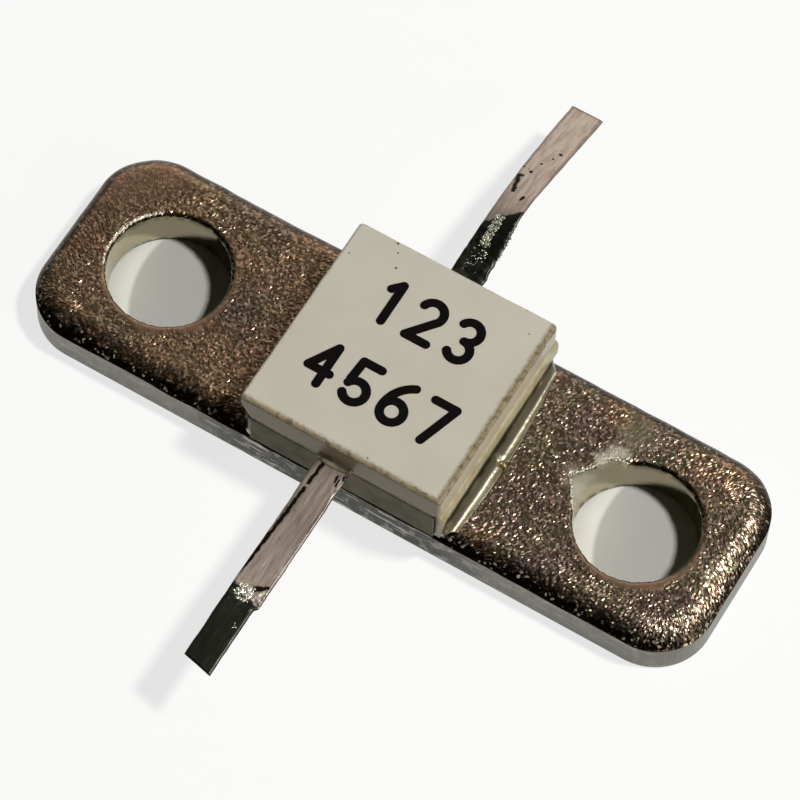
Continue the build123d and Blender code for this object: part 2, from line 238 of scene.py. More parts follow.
def nickel_plating(look):
    """Nickel over blasted copper: brown and rose with specks of many hues, dark where the die rolled
    the edge from tarnish and painted shade, satin on the sheared sides, mirror bright in the punched holes."""
    material, add, mm = start_material("blasted_nickel_plating")
    grain, pale, rim, wall = (
        add("Attribute", (), {"attribute_name": name}, 2) for name in ("grain", "side", "rim", "wall")
    )
    # Slow drift from red brown at the left end to grey brown at the right
    drift = add("TexNoise", (mm, 0.55, 3.0))
    x = add("SeparateXYZ", (mm,))
    shift = add("Math", (x, 0.02, drift), MULTIPLY_ADD)
    tone = add("MapRange", (shift, 0.38, 0.62), SMOOTH)
    top = add("Mix", (tone, look.top_colour_left, look.top_colour_right), COLOUR)
    # Where no grain is left the copper shows warmer
    full = add("MapRange", (grain, 0.15, 0.75))
    top = add("Mix", (full, look.worn_colour, top), COLOUR)
    # Straw tint in patches
    straw = add("TexNoise", (mm, 0.9, 4.0, 0.65))
    straw = add("MapRange", (straw, 0.46, 0.62, 0, 0.5), SMOOTH)
    top = add("Mix", (straw, top, look.straw_colour), COLOUR)
    # Blast grain: each grain has a shade and a slight hue of its own
    cells = add("TexVoronoi", (mm, 1 / look.grain_size), output=1)
    many = add("MapRange", (x, -8.0, 2.0, 0.08, 0.2), SMOOTH)
    hue = add("Mix", (many, "#FFFFFF", cells), COLOUR)
    shade = add("SeparateColor", (cells,), output=2)
    painted_glint = add("MapRange", (shade, 0.9, 0.95))
    shade = add("MapRange", (shade, 0.35, 1.0, 0.6, 2.1), SMOOTH)
    grey = add("CombineColor", (shade, shade, shade))
    grained = add("Mix", (grain, top, grey), MULTIPLY_COLOUR)
    grained = add("Mix", (grain, grained, hue), MULTIPLY_COLOUR)
    # Sheared sides: upright draw marks, a few of them dark
    marks = add("Mapping", {"Vector": mm, "Scale": (9.0, 9.0, 0.7)})
    streak = add("TexNoise", (marks, 1.0, 6.0, 0.65))
    side = add("Mix", (streak, look.side_colour, look.side_streaks), COLOUR)
    dents = add("TexNoise", (mm, 2.6, 5.0, 0.7))
    dents = add("MapRange", (dents, 0.38, 0.5, 0, 0.9), SMOOTH)
    # Darker dents most towards the middle, where the chip stands
    middle = add("Math", (x,), ABSOLUTE)
    near_middle = add("MapRange", (middle, 5.0, 2.5, 0.25, 1.0), SMOOTH)
    dents = add("Math", (dents, near_middle), MULTIPLY)
    side = add("Mix", (dents, side, "#26251F"), COLOUR)
    scores = add("Mapping", {"Vector": mm, "Rotation": (0.0, 0.35, 0.0), "Scale": (1.2, 1.2, 9.0)})
    scores = add("TexNoise", (scores, 1.0, 4.0))
    scores = add("MapRange", (scores, 0.58, 0.66), SMOOTH)
    scores = add("Math", (scores, near_middle), MULTIPLY)
    side = add("Mix", (scores, side, "#A9A69A"), COLOUR)
    colour = add("Mix", (pale, grained, side), COLOUR)
    colour = add("Mix", (wall, colour, look.wall_colour), COLOUR)
    # Flux smeared by the torn rim
    ragged = add("TexNoise", (mm, 3.5, 4.0))
    ragged = add("MapRange", (ragged, 0, 1, -0.3, 0.3))
    matt = 0.0
    for place, radius, stain, share in FLANGE_STAINS:
        away = add("VectorMath", (mm, place), DISTANCE)
        away = add("Math", (away, ragged))
        spot = add("MapRange", (away, radius, radius * 0.2, 0, share), SMOOTH)
        matt = add("Math", (spot, matt), LARGER)
        colour = add("Mix", (spot, colour, stain), COLOUR)
    # Tarnish and painted shade in the die roll and just inside the holes
    tarnish_and_painted_shade = add("MapRange", (rim, 0, 1, 0, 0.93))
    colour = add("Mix", (tarnish_and_painted_shade, colour, "#1A130D"), COLOUR)
    # Painted glints: a few grains in it are painted pale and matt
    painted_glint = add("Math", (painted_glint, tarnish_and_painted_shade), MULTIPLY)
    painted_glint = add("Math", (painted_glint, grain), MULTIPLY)
    colour = add("Mix", (painted_glint, colour, "#A29C8B"), COLOUR)
    matt = add("Math", (painted_glint, matt), LARGER)
    rough = add("MapRange", (pale, 0, 1, look.top_roughness, 0.36))
    rough = add("MapRange", (wall, 0, 1, rough, 0.05))
    rough = add("MapRange", (matt, 0, 1, rough, 0.6))
    metal = add("MapRange", (matt, 0, 1, 1.0, 0.25))
    fine = add("TexNoise", (mm, 16.0, 3.0, 0.7))
    pits = add("Math", (fine, grain), MULTIPLY)
    bump = add("Bump", {"Height": pits, "Strength": 0.5, "Distance": 0.006 * MM})
    scored = add("Math", (streak, pale), MULTIPLY)
    bump = add("Bump", {"Height": scored, "Strength": 0.5, "Distance": 0.01 * MM, "Normal": bump})
    end_material(add, {"Base Color": colour, "Metallic": metal, "Roughness": rough, "Normal": bump})
    return material


# Place in mm, radius, colour and strength of each stain on the flange
FLANGE_STAINS = [
    ((5.66, 1.40, 1.3), 0.45, "#B9B6A6", 0.7),
    ((5.42, 1.08, 1.3), 0.36, "#B9B6A6", 0.7),
    ((5.85, 2.15, 1.3), 0.80, "#5A583C", 0.5),
    ((5.05, 0.30, 0.75), 0.75, "#C3C0B4", 0.85),
]


def solder_metal(name, bright, dull, stain_and_shade_above):
    """Tin solder, cast: satin grey skin with shrink wrinkles, dark above a level in mm from flux stain and
    painted shade.
    """
    material, add, mm = start_material(name)
    skin = add("TexNoise", (mm, 2.2, 4.0))
    colour = add("Mix", (skin, bright, dull), COLOUR)
    height = add("SeparateXYZ", (mm,), output=2)
    wander = add("MapRange", (skin, 0, 1, -0.12, 0.12))
    level = add("Math", (height, wander))
    # Above the level the wall is painted dark: flux stain with painted shade under the resin and the lid
    stain = add("MapRange", (level, stain_and_shade_above, stain_and_shade_above + 0.16), SMOOTH)
    colour = add("Mix", (stain, colour, "#363220"), COLOUR)
    foot = add("MapRange", (level, FLANGE_TOP + 0.05, FLANGE_TOP - 0.02, 0, 0.85), SMOOTH)
    colour = add("Mix", (foot, colour, "#7C745E"), COLOUR)
    rough = add("MapRange", (skin, 0, 1, 0.26, 0.4))
    # Shrink wrinkles about 0.15 mm apart, drawn out along the joint
    drawn = add("Mapping", {"Vector": mm, "Scale": (6.0, 2.5, 6.0)})
    wrinkle = add("TexNoise", (drawn, 1.2, 3.0))
    bump = add("Bump", {"Height": wrinkle, "Strength": 0.5, "Distance": 0.01 * MM})
    # The blast grain shows through the thin foot
    grain = add("TexNoise", (mm, 9.0, 3.0, 0.7))
    grain = add("Math", (grain, foot), MULTIPLY)
    bump = add("Bump", {"Height": grain, "Strength": 0.3, "Distance": 0.03 * MM, "Normal": bump})
    end_material(add, {"Base Color": colour, "Metallic": 0.95, "Roughness": rough, "Normal": bump})
    return material


def silver_tape(name, lead, look, slant, black_from, black_to, marks, tip, groove):
    """Rolled silver tape: satin rose grey with draw lines, tarnished black between two slanting levels
    of y in mm, with dark marks and a scratched groove where they are given."""
    material, add, mm = start_material(name)
    across = add("SeparateXYZ", (mm,))
    along = add("SeparateXYZ", (mm,), output=1)
    # Draw lines run along the tape, some 0.08 mm apart
    drawn = add("Mapping", {"Vector": mm, "Scale": (11.0, 0.9, 4.0)})
    lines = add("TexNoise", (drawn, 1.0, 5.0, 0.65))
    blotch = add("TexNoise", (mm, 1.9, 4.0))
    grit = add("TexNoise", (mm, 7.0, 3.0))
    tone = add("MapRange", (lines, 0.32, 0.68), SMOOTH)
    skin = add("Mix", (tone, look.bare_colour, look.light_colour), COLOUR)
    specks = add("MapRange", (grit, 0.68, 0.74, 0, 0.6), SMOOTH)
    skin = add("Mix", (specks, skin, "#5B5048"), COLOUR)
    jagged = add("MapRange", (grit, 0, 1, -0.05, 0.05))
    # Both edges are tarnished, the folded one less
    offset = add("Math", (across, -lead.middle_x))
    side = add("Math", (offset,), ABSOLUTE)
    side = add("Math", (side, jagged))
    edge = TAPE_WIDTH / 2
    share = 0.35
    if groove:
        share = add("MapRange", (offset, -0.1, 0.1, 0.1, 0.7))
    dark = add("MapRange", (side, edge - 0.13, edge - 0.05, 0, share), SMOOTH)
    # Tarnish drawn over the cut end
    ended = add("MapRange", (along, tip - math.copysign(0.07, tip), tip, 0, 0.7), SMOOTH)
    dark = add("Math", (ended, dark), LARGER)
    for distance, sideways, radius in marks:
        away = add("VectorMath", (mm, on_top(lead, distance, sideways)), DISTANCE)
        away = add("Math", (jagged, 1.0, away), MULTIPLY_ADD)
        spot = add("MapRange", (away, radius, radius * 0.5), SMOOTH)
        dark = add("Math", (spot, dark), LARGER)
    if groove:
        edge_y = lead.edge_y
        groove_x = lead.middle_x + GROOVE_START - GROOVE_DRIFT * edge_y
        line = add("Math", (along, GROOVE_DRIFT, groove_x), MULTIPLY_ADD)
        off = add("Math", (across, line), SUBTRACT)
        off = add("Math", (off, jagged))
        off = add("Math", (off,), ABSOLUTE)
        cut = add("MapRange", (off, 0.07, 0.035), SMOOTH)
        gap = add("Math", (along, GROOVE_GAP - edge_y))
        gap = add("Math", (gap,), ABSOLUTE)
        limits = (along, edge_y - 0.06, edge_y - 0.11), (along, edge_y - 4.0, edge_y - 3.7), (gap, 0.03, 0.06)
        for limit in limits:
            inside = add("MapRange", limit, SMOOTH)
            cut = add("Math", (cut, inside), MULTIPLY)
        dark = add("Math", (cut, dark), LARGER)
    skin = add("Mix", (dark, skin, "#1A1512"), COLOUR)
    wander = add("MapRange", (blotch, 0, 1, -0.3, 0.3))
    wander = add("Math", (jagged, 1.5, wander), MULTIPLY_ADD)
    reach = add("Math", (across, slant, along), MULTIPLY_ADD)
    reach = add("Math", (reach, wander))
    enter = add("MapRange", (reach, black_from - 0.03, black_from + 0.03), SMOOTH)
    leave = add("MapRange", (reach, black_to + 0.03, black_to - 0.03), SMOOTH)
    black = add("Math", (enter, leave), MULTIPLY)
    sooty = add("Mix", (blotch, "#1C1D19", "#3E3F38"), COLOUR)
    colour = add("Mix", (black, skin, sooty), COLOUR)
    rough = add("MapRange", (black, 0, 1, 0.36, 0.34))
    bump = add("Bump", {"Height": lines, "Strength": 0.5, "Distance": 0.01 * MM})
    end_material(add, {"Base Color": colour, "Metallic": 0.9, "Roughness": rough, "Normal": bump})
    return material


def lid_ceramic(look):
    """Glazed alumina lid, pressed and fired: warm off-white, tan where the edges wore through."""
    material, add, mm = start_material("glazed_lid_ceramic")
    cloud = add("TexNoise", (mm, 0.7, 3.0))
    tone = add("MapRange", (cloud, 0.3, 0.7), SMOOTH)
    body = add("Mix", (tone, look.body_colour, look.body_shade), COLOUR)
    x = add("SeparateXYZ", (mm,))
    y = add("SeparateXYZ", (mm,), output=1)
    z = add("SeparateXYZ", (mm,), output=2)
    # Worn line along each upper edge, ragged and wider along some edges than others
    ragged = add("TexNoise", (mm, 8.0, 4.0, 0.8))
    ragged = add("MapRange", (ragged, 0, 1, -0.1, 0.1))
    nearest = None
    edges = ((y, LID_LOW[1], -0.06), (x, LID_HIGH[0], -0.10), (x, LID_LOW[0], 0.06), (y, LID_HIGH[1], 0.07))
    for axis, edge, spared in edges:
        gap = add("Math", (axis, edge), SUBTRACT)
        gap = add("Math", (gap,), ABSOLUTE)
        gap = add("Math", (gap, spared))
        nearest = gap if nearest is None else add("Math", (nearest, gap), {"operation": "MINIMUM"})
    drop = add("Math", (LID_HIGH[2], z), SUBTRACT)
    away = add("Math", (nearest, drop), LARGER)
    away = add("Math", (away, ragged))
    worn = add("MapRange", (away, 0.15, 0.0, 0, 0.92), SMOOTH)
    # Sides painted darker and warmer below the top edge, fully at the front: painted shade
    sides = add("MapRange", (drop, 0.04, 0.12), SMOOTH)
    front = add("MapRange", (y, LID_LOW[1] + 0.2, LID_LOW[1] + 0.02, 0.45, 1.0), SMOOTH)
    sides = add("Math", (sides, front), MULTIPLY)
    body = add("Mix", (sides, body, "#B5AA8E"), COLOUR)
    spots = add("TexNoise", (mm, 4.5, 4.0, 0.7))
    spots = add("MapRange", (spots, 0.48, 0.6), SMOOTH)
    edge = add("Mix", (spots, look.edge_colour, "#5A4A30"), COLOUR)
    colour = add("Mix", (worn, body, edge), COLOUR)
    # Dust specks pressed into the glaze, where the photograph shows them
    specks = 0.0
    for speck_x, speck_y, radius in LID_SPECKS:
        place = (speck_x, speck_y, LID_HIGH[2])
        away = add("VectorMath", (mm, place), DISTANCE)
        dot = add("MapRange", (away, radius, radius * 0.4), SMOOTH)
        specks = add("Math", (dot, specks), {"use_clamp": True})
    colour = add("Mix", (specks, colour, "#3E362C"), COLOUR)
    rough = add("MapRange", (cloud, 0, 1, 0.30, 0.42))
    pores = add("TexNoise", (mm, 9.0, 3.0))
    bump = add("Bump", {"Height": pores, "Strength": 0.12, "Distance": 0.01 * MM})
    shader = {"Base Color": colour, "Roughness": rough, "Normal": bump}
    shader |= {"IOR": 1.5, "Specular IOR Level": 0.22}
    # Light sinks in by some tenths of a millimetre
    depth = (0.4 * MM, 0.36 * MM, 0.3 * MM)
    shader |= {"Subsurface Weight": 0.12, "Subsurface Radius": depth, "Subsurface Scale": 1.0}
    end_material(add, shader)
    return material


# Dark marks on the leads: distance from the chip's edge, place across and radius, in millimetres
FRONT_MARKS = [
    *((0.28 + 0.05 * k, 0.25 + 0.004 * k, 0.038) for k in range(5)),
    *((0.36 + 0.05 * k, 0.335 + 0.004 * k, 0.036) for k in range(5)),
    (0.26, 0.41, 0.055),
    (0.32, 0.43, 0.045),
    (0.20, 0.45, 0.07),
    *((3.87 + 0.045 * k, 0.38 - 0.065 * k, 0.075 + 0.01 * k) for k in range(5)),
]
REAR_MARKS = [
    (3.73, -0.28, 0.08),
    (3.70, -0.36, 0.12),
    (3.62, -0.355, 0.10),
    (3.54, -0.33, 0.11),
    (3.46, -0.30, 0.10),
    (3.38, -0.295, 0.08),
    (3.30, -0.28, 0.08),
    (3.22, -0.245, 0.10),
    (3.14, -0.215, 0.09),
    (3.96, -0.15, 0.07),
    (4.94, 0.20, 0.075),
    (2.98, 0.18, 0.075),
    (2.90, 0.16, 0.07),
    (4.36, -0.05, 0.05),
    (4.06, -0.42, 0.05),
    (4.70, 0.12, 0.045),
]

# Place and radius of each speck on the lid, in millimetres
LID_SPECKS = [
    (0.745, -2.927, 0.035),
    (-1.765, 2.788, 0.05),
    (-1.621, 2.546, 0.035),
    (-1.439, 2.14, 0.045),
    (-2.697, 1.888, 0.03),
    (2.442, 2.254, 0.03),
]


def plain_finish(name, first, second, scale, roughness, metallic=0.0, relief=0.006, ior=1.5, specular=0.5):
    """A fired, printed or cast surface: two shades in patches, uneven gloss and a fine relief."""
    material, add, mm = start_material(name)
    patch = add("TexNoise", (mm, scale, 4.0, 0.6))
    tone = add("MapRange", (patch, 0.34, 0.66), SMOOTH)
    colour = add("Mix", (tone, first, second), COLOUR)
    rough = add("MapRange", (patch, 0, 1, roughness - 0.08, roughness + 0.08))
    grit = add("TexNoise", (mm, scale * 5, 2.0))
    bump = add("Bump", {"Height": grit, "Strength": 0.5, "Distance": relief * MM})
    shader = {"Base Color": colour, "Roughness": rough, "Normal": bump, "Metallic": metallic}
    if not metallic:
        shader |= {"IOR": ior, "Specular IOR Level": specular}
    end_material(add, shader)
    return material


def cured_epoxy():
    """Filled epoxy: dark brown and half glossy between the ceramics, cream where it squeezed out."""
    material, add, mm = start_material("cured_epoxy")
    patch = add("TexNoise", (mm, 3.0, 4.0))
    dark = add("Mix", (patch, "#B3A98C", "#8F866C"), COLOUR)
    cream = add("Mix", (patch, "#C0B698", "#8F8263"), COLOUR)
    y = add("SeparateXYZ", (mm,), output=1)
    centre, half = (CHIP_HIGH[1] + CHIP_LOW[1]) / 2, (CHIP_HIGH[1] - CHIP_LOW[1]) / 2
    out = add("Math", (add("Math", (y, -centre)),), ABSOLUTE)
    out = add("MapRange", (out, half, half + 0.01), SMOOTH)
    colour = add("Mix", (out, dark, cream), COLOUR)
    rough = add("MapRange", (patch, 0, 1, 0.32, 0.48))
    bump = add("Bump", {"Height": patch, "Strength": 0.5, "Distance": 0.006 * MM})
    end_material(add, {"Base Color": colour, "Roughness": rough, "Normal": bump, "IOR": 1.5})
    return material


# Heights of the card in the holes and of the floor, in millimetres
CARD_LEVEL, FLOOR_LEVEL = -0.02, -0.03
# The arc along which a painted pool of light lies on the card, where a hole's wall would gather the lamp's
# light, in both holes alike
CRESCENT_CENTRE = (HOLE_X + 2.117, 0.631, CARD_LEVEL)
CRESCENT_RADIUS = 3.14


def paper(name, seen_colour, bounce_colour, camera_white, painted_caustic_colour=None):
    """Matt backdrop paper; seen straight, in a gloss or through glass it is lifted towards white."""
    material, add, mm = start_material(name)
    path = add("LightPath", output=None).outputs
    seen = add("Math", (path["Is Camera Ray"], path["Is Glossy Ray"]), LARGER)
    seen = add("Math", (seen, path["Is Transmission Ray"]), LARGER)
    fibre = add("TexNoise", (mm, 1.5, 3.0))
    tint = add("MapRange", (fibre, 0, 1, 0.96, 1.0))
    grey = add("CombineColor", (tint, tint, tint))
    base = add("Mix", (seen, bounce_colour, seen_colour), COLOUR)
    if painted_caustic_colour:
        # Painted light: a pale pool along a curve, fading outwards, where the holes' walls would throw the
        # lamp's light back on it
        folded = add("VectorMath", (mm, (2 * HOLE_X, 50, 1), (0, -50, -1)), {"operation": "WRAP"})
        away = add("VectorMath", (folded, CRESCENT_CENTRE), DISTANCE)
        lit = add("MapRange", (away, CRESCENT_RADIUS, CRESCENT_RADIUS + 0.15), SMOOTH)
        faded = add("MapRange", (away, CRESCENT_RADIUS + 0.16, CRESCENT_RADIUS + 0.66, 1.0, 0.4), SMOOTH)
        lit = add("Math", (lit, faded), MULTIPLY)
        base = add("Mix", (lit, base, painted_caustic_colour), COLOUR)
    shade = add("Mix", (1.0, base, grey), MULTIPLY_COLOUR)
    matt = add("BsdfDiffuse", (shade,))
    glow = add("Emission", ("#FFFFFF", 1.0))
    share = add("Math", (seen, camera_white), MULTIPLY)
    add("OutputMaterial", {"Surface": add("MixShader", (share, matt, glow))}, output=None)
    return material


# Flange


def outline_ring(inset, spacing):
    """Points round the flange's outline, moved in by a distance; every ring has the same count."""
    half = FLANGE_HIGH[:2] - CORNER_RADIUS
    turns = max(8, round(CORNER_RADIUS * math.pi / 2 / spacing))
    points = []
    for corner, side in enumerate(((1, 1), (-1, 1), (-1, -1), (1, -1))):
        angles = np.radians(90 * corner + np.linspace(0, 90, turns + 1))
        arc = half * side + (CORNER_RADIUS - inset) * circle(angles)
        straight = 2 * half[corner % 2]
        steps = round(straight / spacing)
        ahead = np.arange(1, steps)[:, None] * (straight / steps)
        points += [arc, arc[-1] + ahead * circle(angles[-1:] + math.pi / 2)]
    return np.concatenate(points)


def tear_reach(angles):
    """How far the tear reaches past the right hole's wall at angles in radians."""
    return np.interp(np.degrees(angles) % 360, TEAR_ANGLES, TEAR_REACHES)


def torn_radius(angles, level):
    """Radius of the right hole's wall where a leaning bite widens it, ragged along its top."""
    bite, share = tear_reach(angles), level / FLANGE_TOP
    ragged = random_over(circle(angles), 9, 0.4 * level)
    return HOLE_RADIUS + bite * share**0.8 + 0.07 * ragged * ease(bite, 0.0, 0.1) * ease(share, 0.6, 1.0)


def hole_rings(centre_x, torn, count):
    """Rings from a hole's rim at the top face down its wall to a burred foot, as (points, level) pairs."""
    angles = np.linspace(0, 2 * math.pi, count, endpoint=False)
    lifts = np.linspace(0, math.pi / 2, 7)
    steps = [(HOLE_ROUND * (1 - math.sin(t)), FLANGE_TOP - HOLE_ROUND * (1 - math.cos(t))) for t in lifts]
    steps += [(0.0, level) for level in (0.95, 0.75, 0.55, 0.35, 0.18, 0.07)] + [(0.012, 0.035), (0.04, 0.0)]
    burr, nicks = (random_over(circle(angles), scale, centre_x) for scale in (9, 16))
    rings = []
    for widen, level in steps:
        radius = HOLE_RADIUS + widen * (1 + burr * (level < BURR_HEIGHT))
        if FLANGE_TOP - HOLE_ROUND < level < FLANGE_TOP - 0.001:
            radius = radius + 0.025 * nicks
        if torn:
            radius = np.maximum(radius, torn_radius(angles, level) + widen * 0.5)
        rings.append(([centre_x, 0] + radius[:, None] * circle(angles), level))
    return rings


def roll_shape(points):
    """Depth in mm and lean in degrees of the die roll round the top edge, at points seen from above."""
    soft = ease(points[:, 0] - 0.35 * points[:, 1], 8.0, 9.6)
    front = ease(edge_facing(points), 0.1, 0.9)
    radius = BACK_RADIUS + (FRONT_RADIUS - BACK_RADIUS) * front
    radius += (SOFT_RADIUS - radius) * soft
    deep = BACK_DEPTH + (FRONT_DEPTH - BACK_DEPTH) * np.maximum(front, soft)
    deep *= 1 + 0.15 * random_over(points, 0.9, 6.0)
    into = np.clip(np.sqrt(2 * radius * deep - deep**2) - edge_distance(points), 0, None)
    return radius - np.sqrt(radius**2 - into**2), np.degrees(np.arcsin(into / radius))


def past_corner(points):
    """How far points lie beyond the centres of the outline's corners, along x and y."""
    return np.abs(points) - (FLANGE_HIGH[:2] - CORNER_RADIUS)


def edge_facing(points):
    """How squarely the flange's outline faces the front where it is nearest to each point."""
    away = np.maximum(past_corner(points), 0) * np.sign(points)
    return -away[:, 1] / np.maximum(np.linalg.norm(away, axis=1), 1e-9)


def edge_distance(points):
    """How far inside the flange's outline each point lies."""
    inner = past_corner(points)
    outside = np.linalg.norm(np.maximum(inner, 0), axis=1) + np.minimum(inner.max(1), 0)
    return CORNER_RADIUS - outside


def flat_face(rings, first_ids, interior, first_interior):
    """Triangles of a flat face between an outline ring and the hole rings, as vertex numbers."""
    points, numbers, edges = [], [], []
    for ring, first in zip(rings, first_ids):
        start, count = len(points), len(ring)
        points += [Vector(p) for p in ring]
        numbers += range(first, first + count)
        edges += [(start + k, start + (k + 1) % count) for k in range(count)]
    points += [Vector(p) for p in interior]
    numbers += range(first_interior, first_interior + len(interior))
    made = delaunay_2d_cdt(points, edges, [], 0, 1e-7, True)
    if len(made[0]) != len(points):
        raise RuntimeError("the flange's face has crossing edges")
    corners = np.array(made[2])
    middle = np.concatenate([*rings, interior])[corners].mean(1)
    keep = edge_distance(middle) > edge_distance(rings[0]).mean() - 1e-4
    for ring in rings[1:]:
        keep &= ~inside_ring(middle, ring)
    return np.array(numbers)[corners[keep]].tolist()


def inside_ring(points, ring):
    """Which points lie within a closed ring: a line out of them to the right crosses it an odd number
    of times."""
    x, y = points[:, :1], points[:, 1:]
    (start_x, start_y), (end_x, end_y) = ring.T, np.roll(ring, -1, axis=0).T
    spans = (start_y > y) != (end_y > y)
    rise = np.where(start_y == end_y, 1.0, end_y - start_y)
    meets = start_x + (end_x - start_x) * (y - start_y) / rise
    return (spans & (x < meets)).sum(1) % 2 == 1


def ring_band(upper, lower, count, flip=False):
    """Quads between two rings of the same count."""
    following = [*range(1, count), 0]
    quads = [(upper + k, upper + n, lower + n, lower + k) for k, n in enumerate(following)]
    return [quad[::-1] for quad in quads] if flip else quads


def loft(name, sections, material, flip=False, smooth=True):
    """A closed skin through sections of one count in millimetres, with a cap at each end."""
    count, last, faces = len(sections[0]), (len(sections) - 1) * len(sections[0]), []
    for first in range(0, last, count):
        faces += ring_band(first, first + count, count, flip)
    for cap in (range(count)[::-1], range(last, last + count)):
        faces.append(tuple(cap[::-1] if flip else cap))
    return mesh_piece(name, np.concatenate(sections), faces, material, smooth)


def flange_mesh(look, material):
    """The plate with its die roll, its blasted top, both holes and the torn rim."""
    generator = np.random.default_rng(look.seed)
    spacing = look.relief_spacing
    vertices, faces, kinds = [], [], []

    def put(points, level, kind):
        """Takes in points at one level and gives back the number of the first."""
        vertices.extend((x, y, level) for x, y in points)
        kinds.extend([kind] * len(points))
        return len(vertices) - len(points)

    # Rings over the die roll, down the sheared side and round its foot
    levels = [(inset, FLANGE_TOP, ROLLED) for inset in (*np.arange(ROLL_REACH, spacing / 2, -spacing), 0.0)]
    top_count = len(levels)
    levels += [(0.0, z, SHEARED) for z in (1.0, 0.9, 0.8, 0.66, 0.52, 0.38, 0.24, 0.12)]
    for t in np.linspace(0, math.pi / 2, 4):
        levels.append((BOTTOM_ROUND * (1 - math.cos(t)), BOTTOM_ROUND * (1 - math.sin(t)), SHEARED))
    firsts = [put(outline_ring(inset, spacing), level, kind) for inset, level, kind in levels]
    round_count = firsts[1]
    for upper, lower in pairwise(firsts):
        faces += ring_band(upper, lower, round_count, True)
    # The holes' rings; both flat faces lie between the first or the last ring of all three
    outlines = [([outline_ring(ROLL_REACH, spacing), outline_ring(BOTTOM_ROUND, spacing)], firsts)]
    hole_count = round(2 * math.pi * HOLE_RADIUS / spacing)
    for centre_x in (-HOLE_X, HOLE_X):
        rings = hole_rings(centre_x, centre_x > 0, hole_count)
        hole_firsts = [put(ring, level, PUNCHED) for ring, level in rings]
        for upper, lower in pairwise(hole_firsts):
            faces += ring_band(upper, lower, hole_count)
        outlines.append(([ring for ring, _ in rings], hole_firsts))
    # Points of the blasted top face, left out where the chip hides it
    grid = np.meshgrid(np.arange(-9.8, 9.8, spacing), np.arange(-2.8, 2.8, spacing))
    inside = np.stack([axis.ravel() for axis in grid], 1)
    inside += generator.uniform(-0.34, 0.34, inside.shape) * spacing
    keep = edge_distance(inside) > ROLL_REACH + 0.6 * spacing
    for centre_x, (rings, _) in zip((-HOLE_X, HOLE_X), outlines[1:]):
        keep &= beyond_ring(inside, centre_x, rings[0]) > 0.6 * spacing
    x, y = inside.T
    hidden = (x > SOLDER_LOW[0] + 0.5) & (x < SOLDER_HIGH[0] - 0.5) & (np.abs(y) < 2.6)
    inside = inside[keep & ~hidden]
    first_inside = put(inside, FLANGE_TOP, ROLLED)
    for end, points, turn in ((0, inside, 1), (-1, inside[:0], -1)):
        rings, ring_firsts = zip(*[(made[end], numbers[end]) for made, numbers in outlines])
        faces += [tuple(face[::turn]) for face in flat_face(rings, ring_firsts, points, first_inside)]
    vertices, kinds = np.array(vertices), np.array(kinds)
    depth, lean = roll_shape(vertices[:, :2])
    # The first ring of the sheared side follows the wavy foot of the roll
    edge, follow = firsts[top_count - 1], firsts[top_count]
    vertices[follow : follow + round_count, 2] = FLANGE_TOP - depth[edge : edge + round_count] - 0.012
    marks = flange_marks(vertices, kinds, lean)
    coarser = 1 + 1.3 * ease(lean, 12, 30) * ease(edge_facing(vertices[:, :2]), 0.15, 0.75)
    relief = blast_relief(vertices, marks["grain"], generator, look) * coarser
    vertices[:, 2] -= np.where(kinds == ROLLED, depth, 0.0) + relief
    # Grained faces are flat, so that each catches the light by itself
    smooth = [marks["grain"][list(face)].mean() < 0.3 for face in faces]
    piece = mesh_piece("flange", vertices, faces, material, smooth)
    for name, values in marks.items():
        attribute = piece.data.attributes.new(name, "FLOAT", "POINT")
        attribute.data.foreach_set("value", values.astype(np.float32))
    return piece


def beyond_ring(points, centre_x, ring):
    """How far outside a hole's ring each point lies."""
    centred, off = ring - [centre_x, 0], points - [centre_x, 0]
    angles, reach = np.arctan2(centred[:, 1], centred[:, 0]), np.linalg.norm(centred, axis=1)
    limit = np.interp(np.arctan2(off[:, 1], off[:, 0]), angles, reach, period=2 * math.pi)
    return np.linalg.norm(off, axis=1) - limit


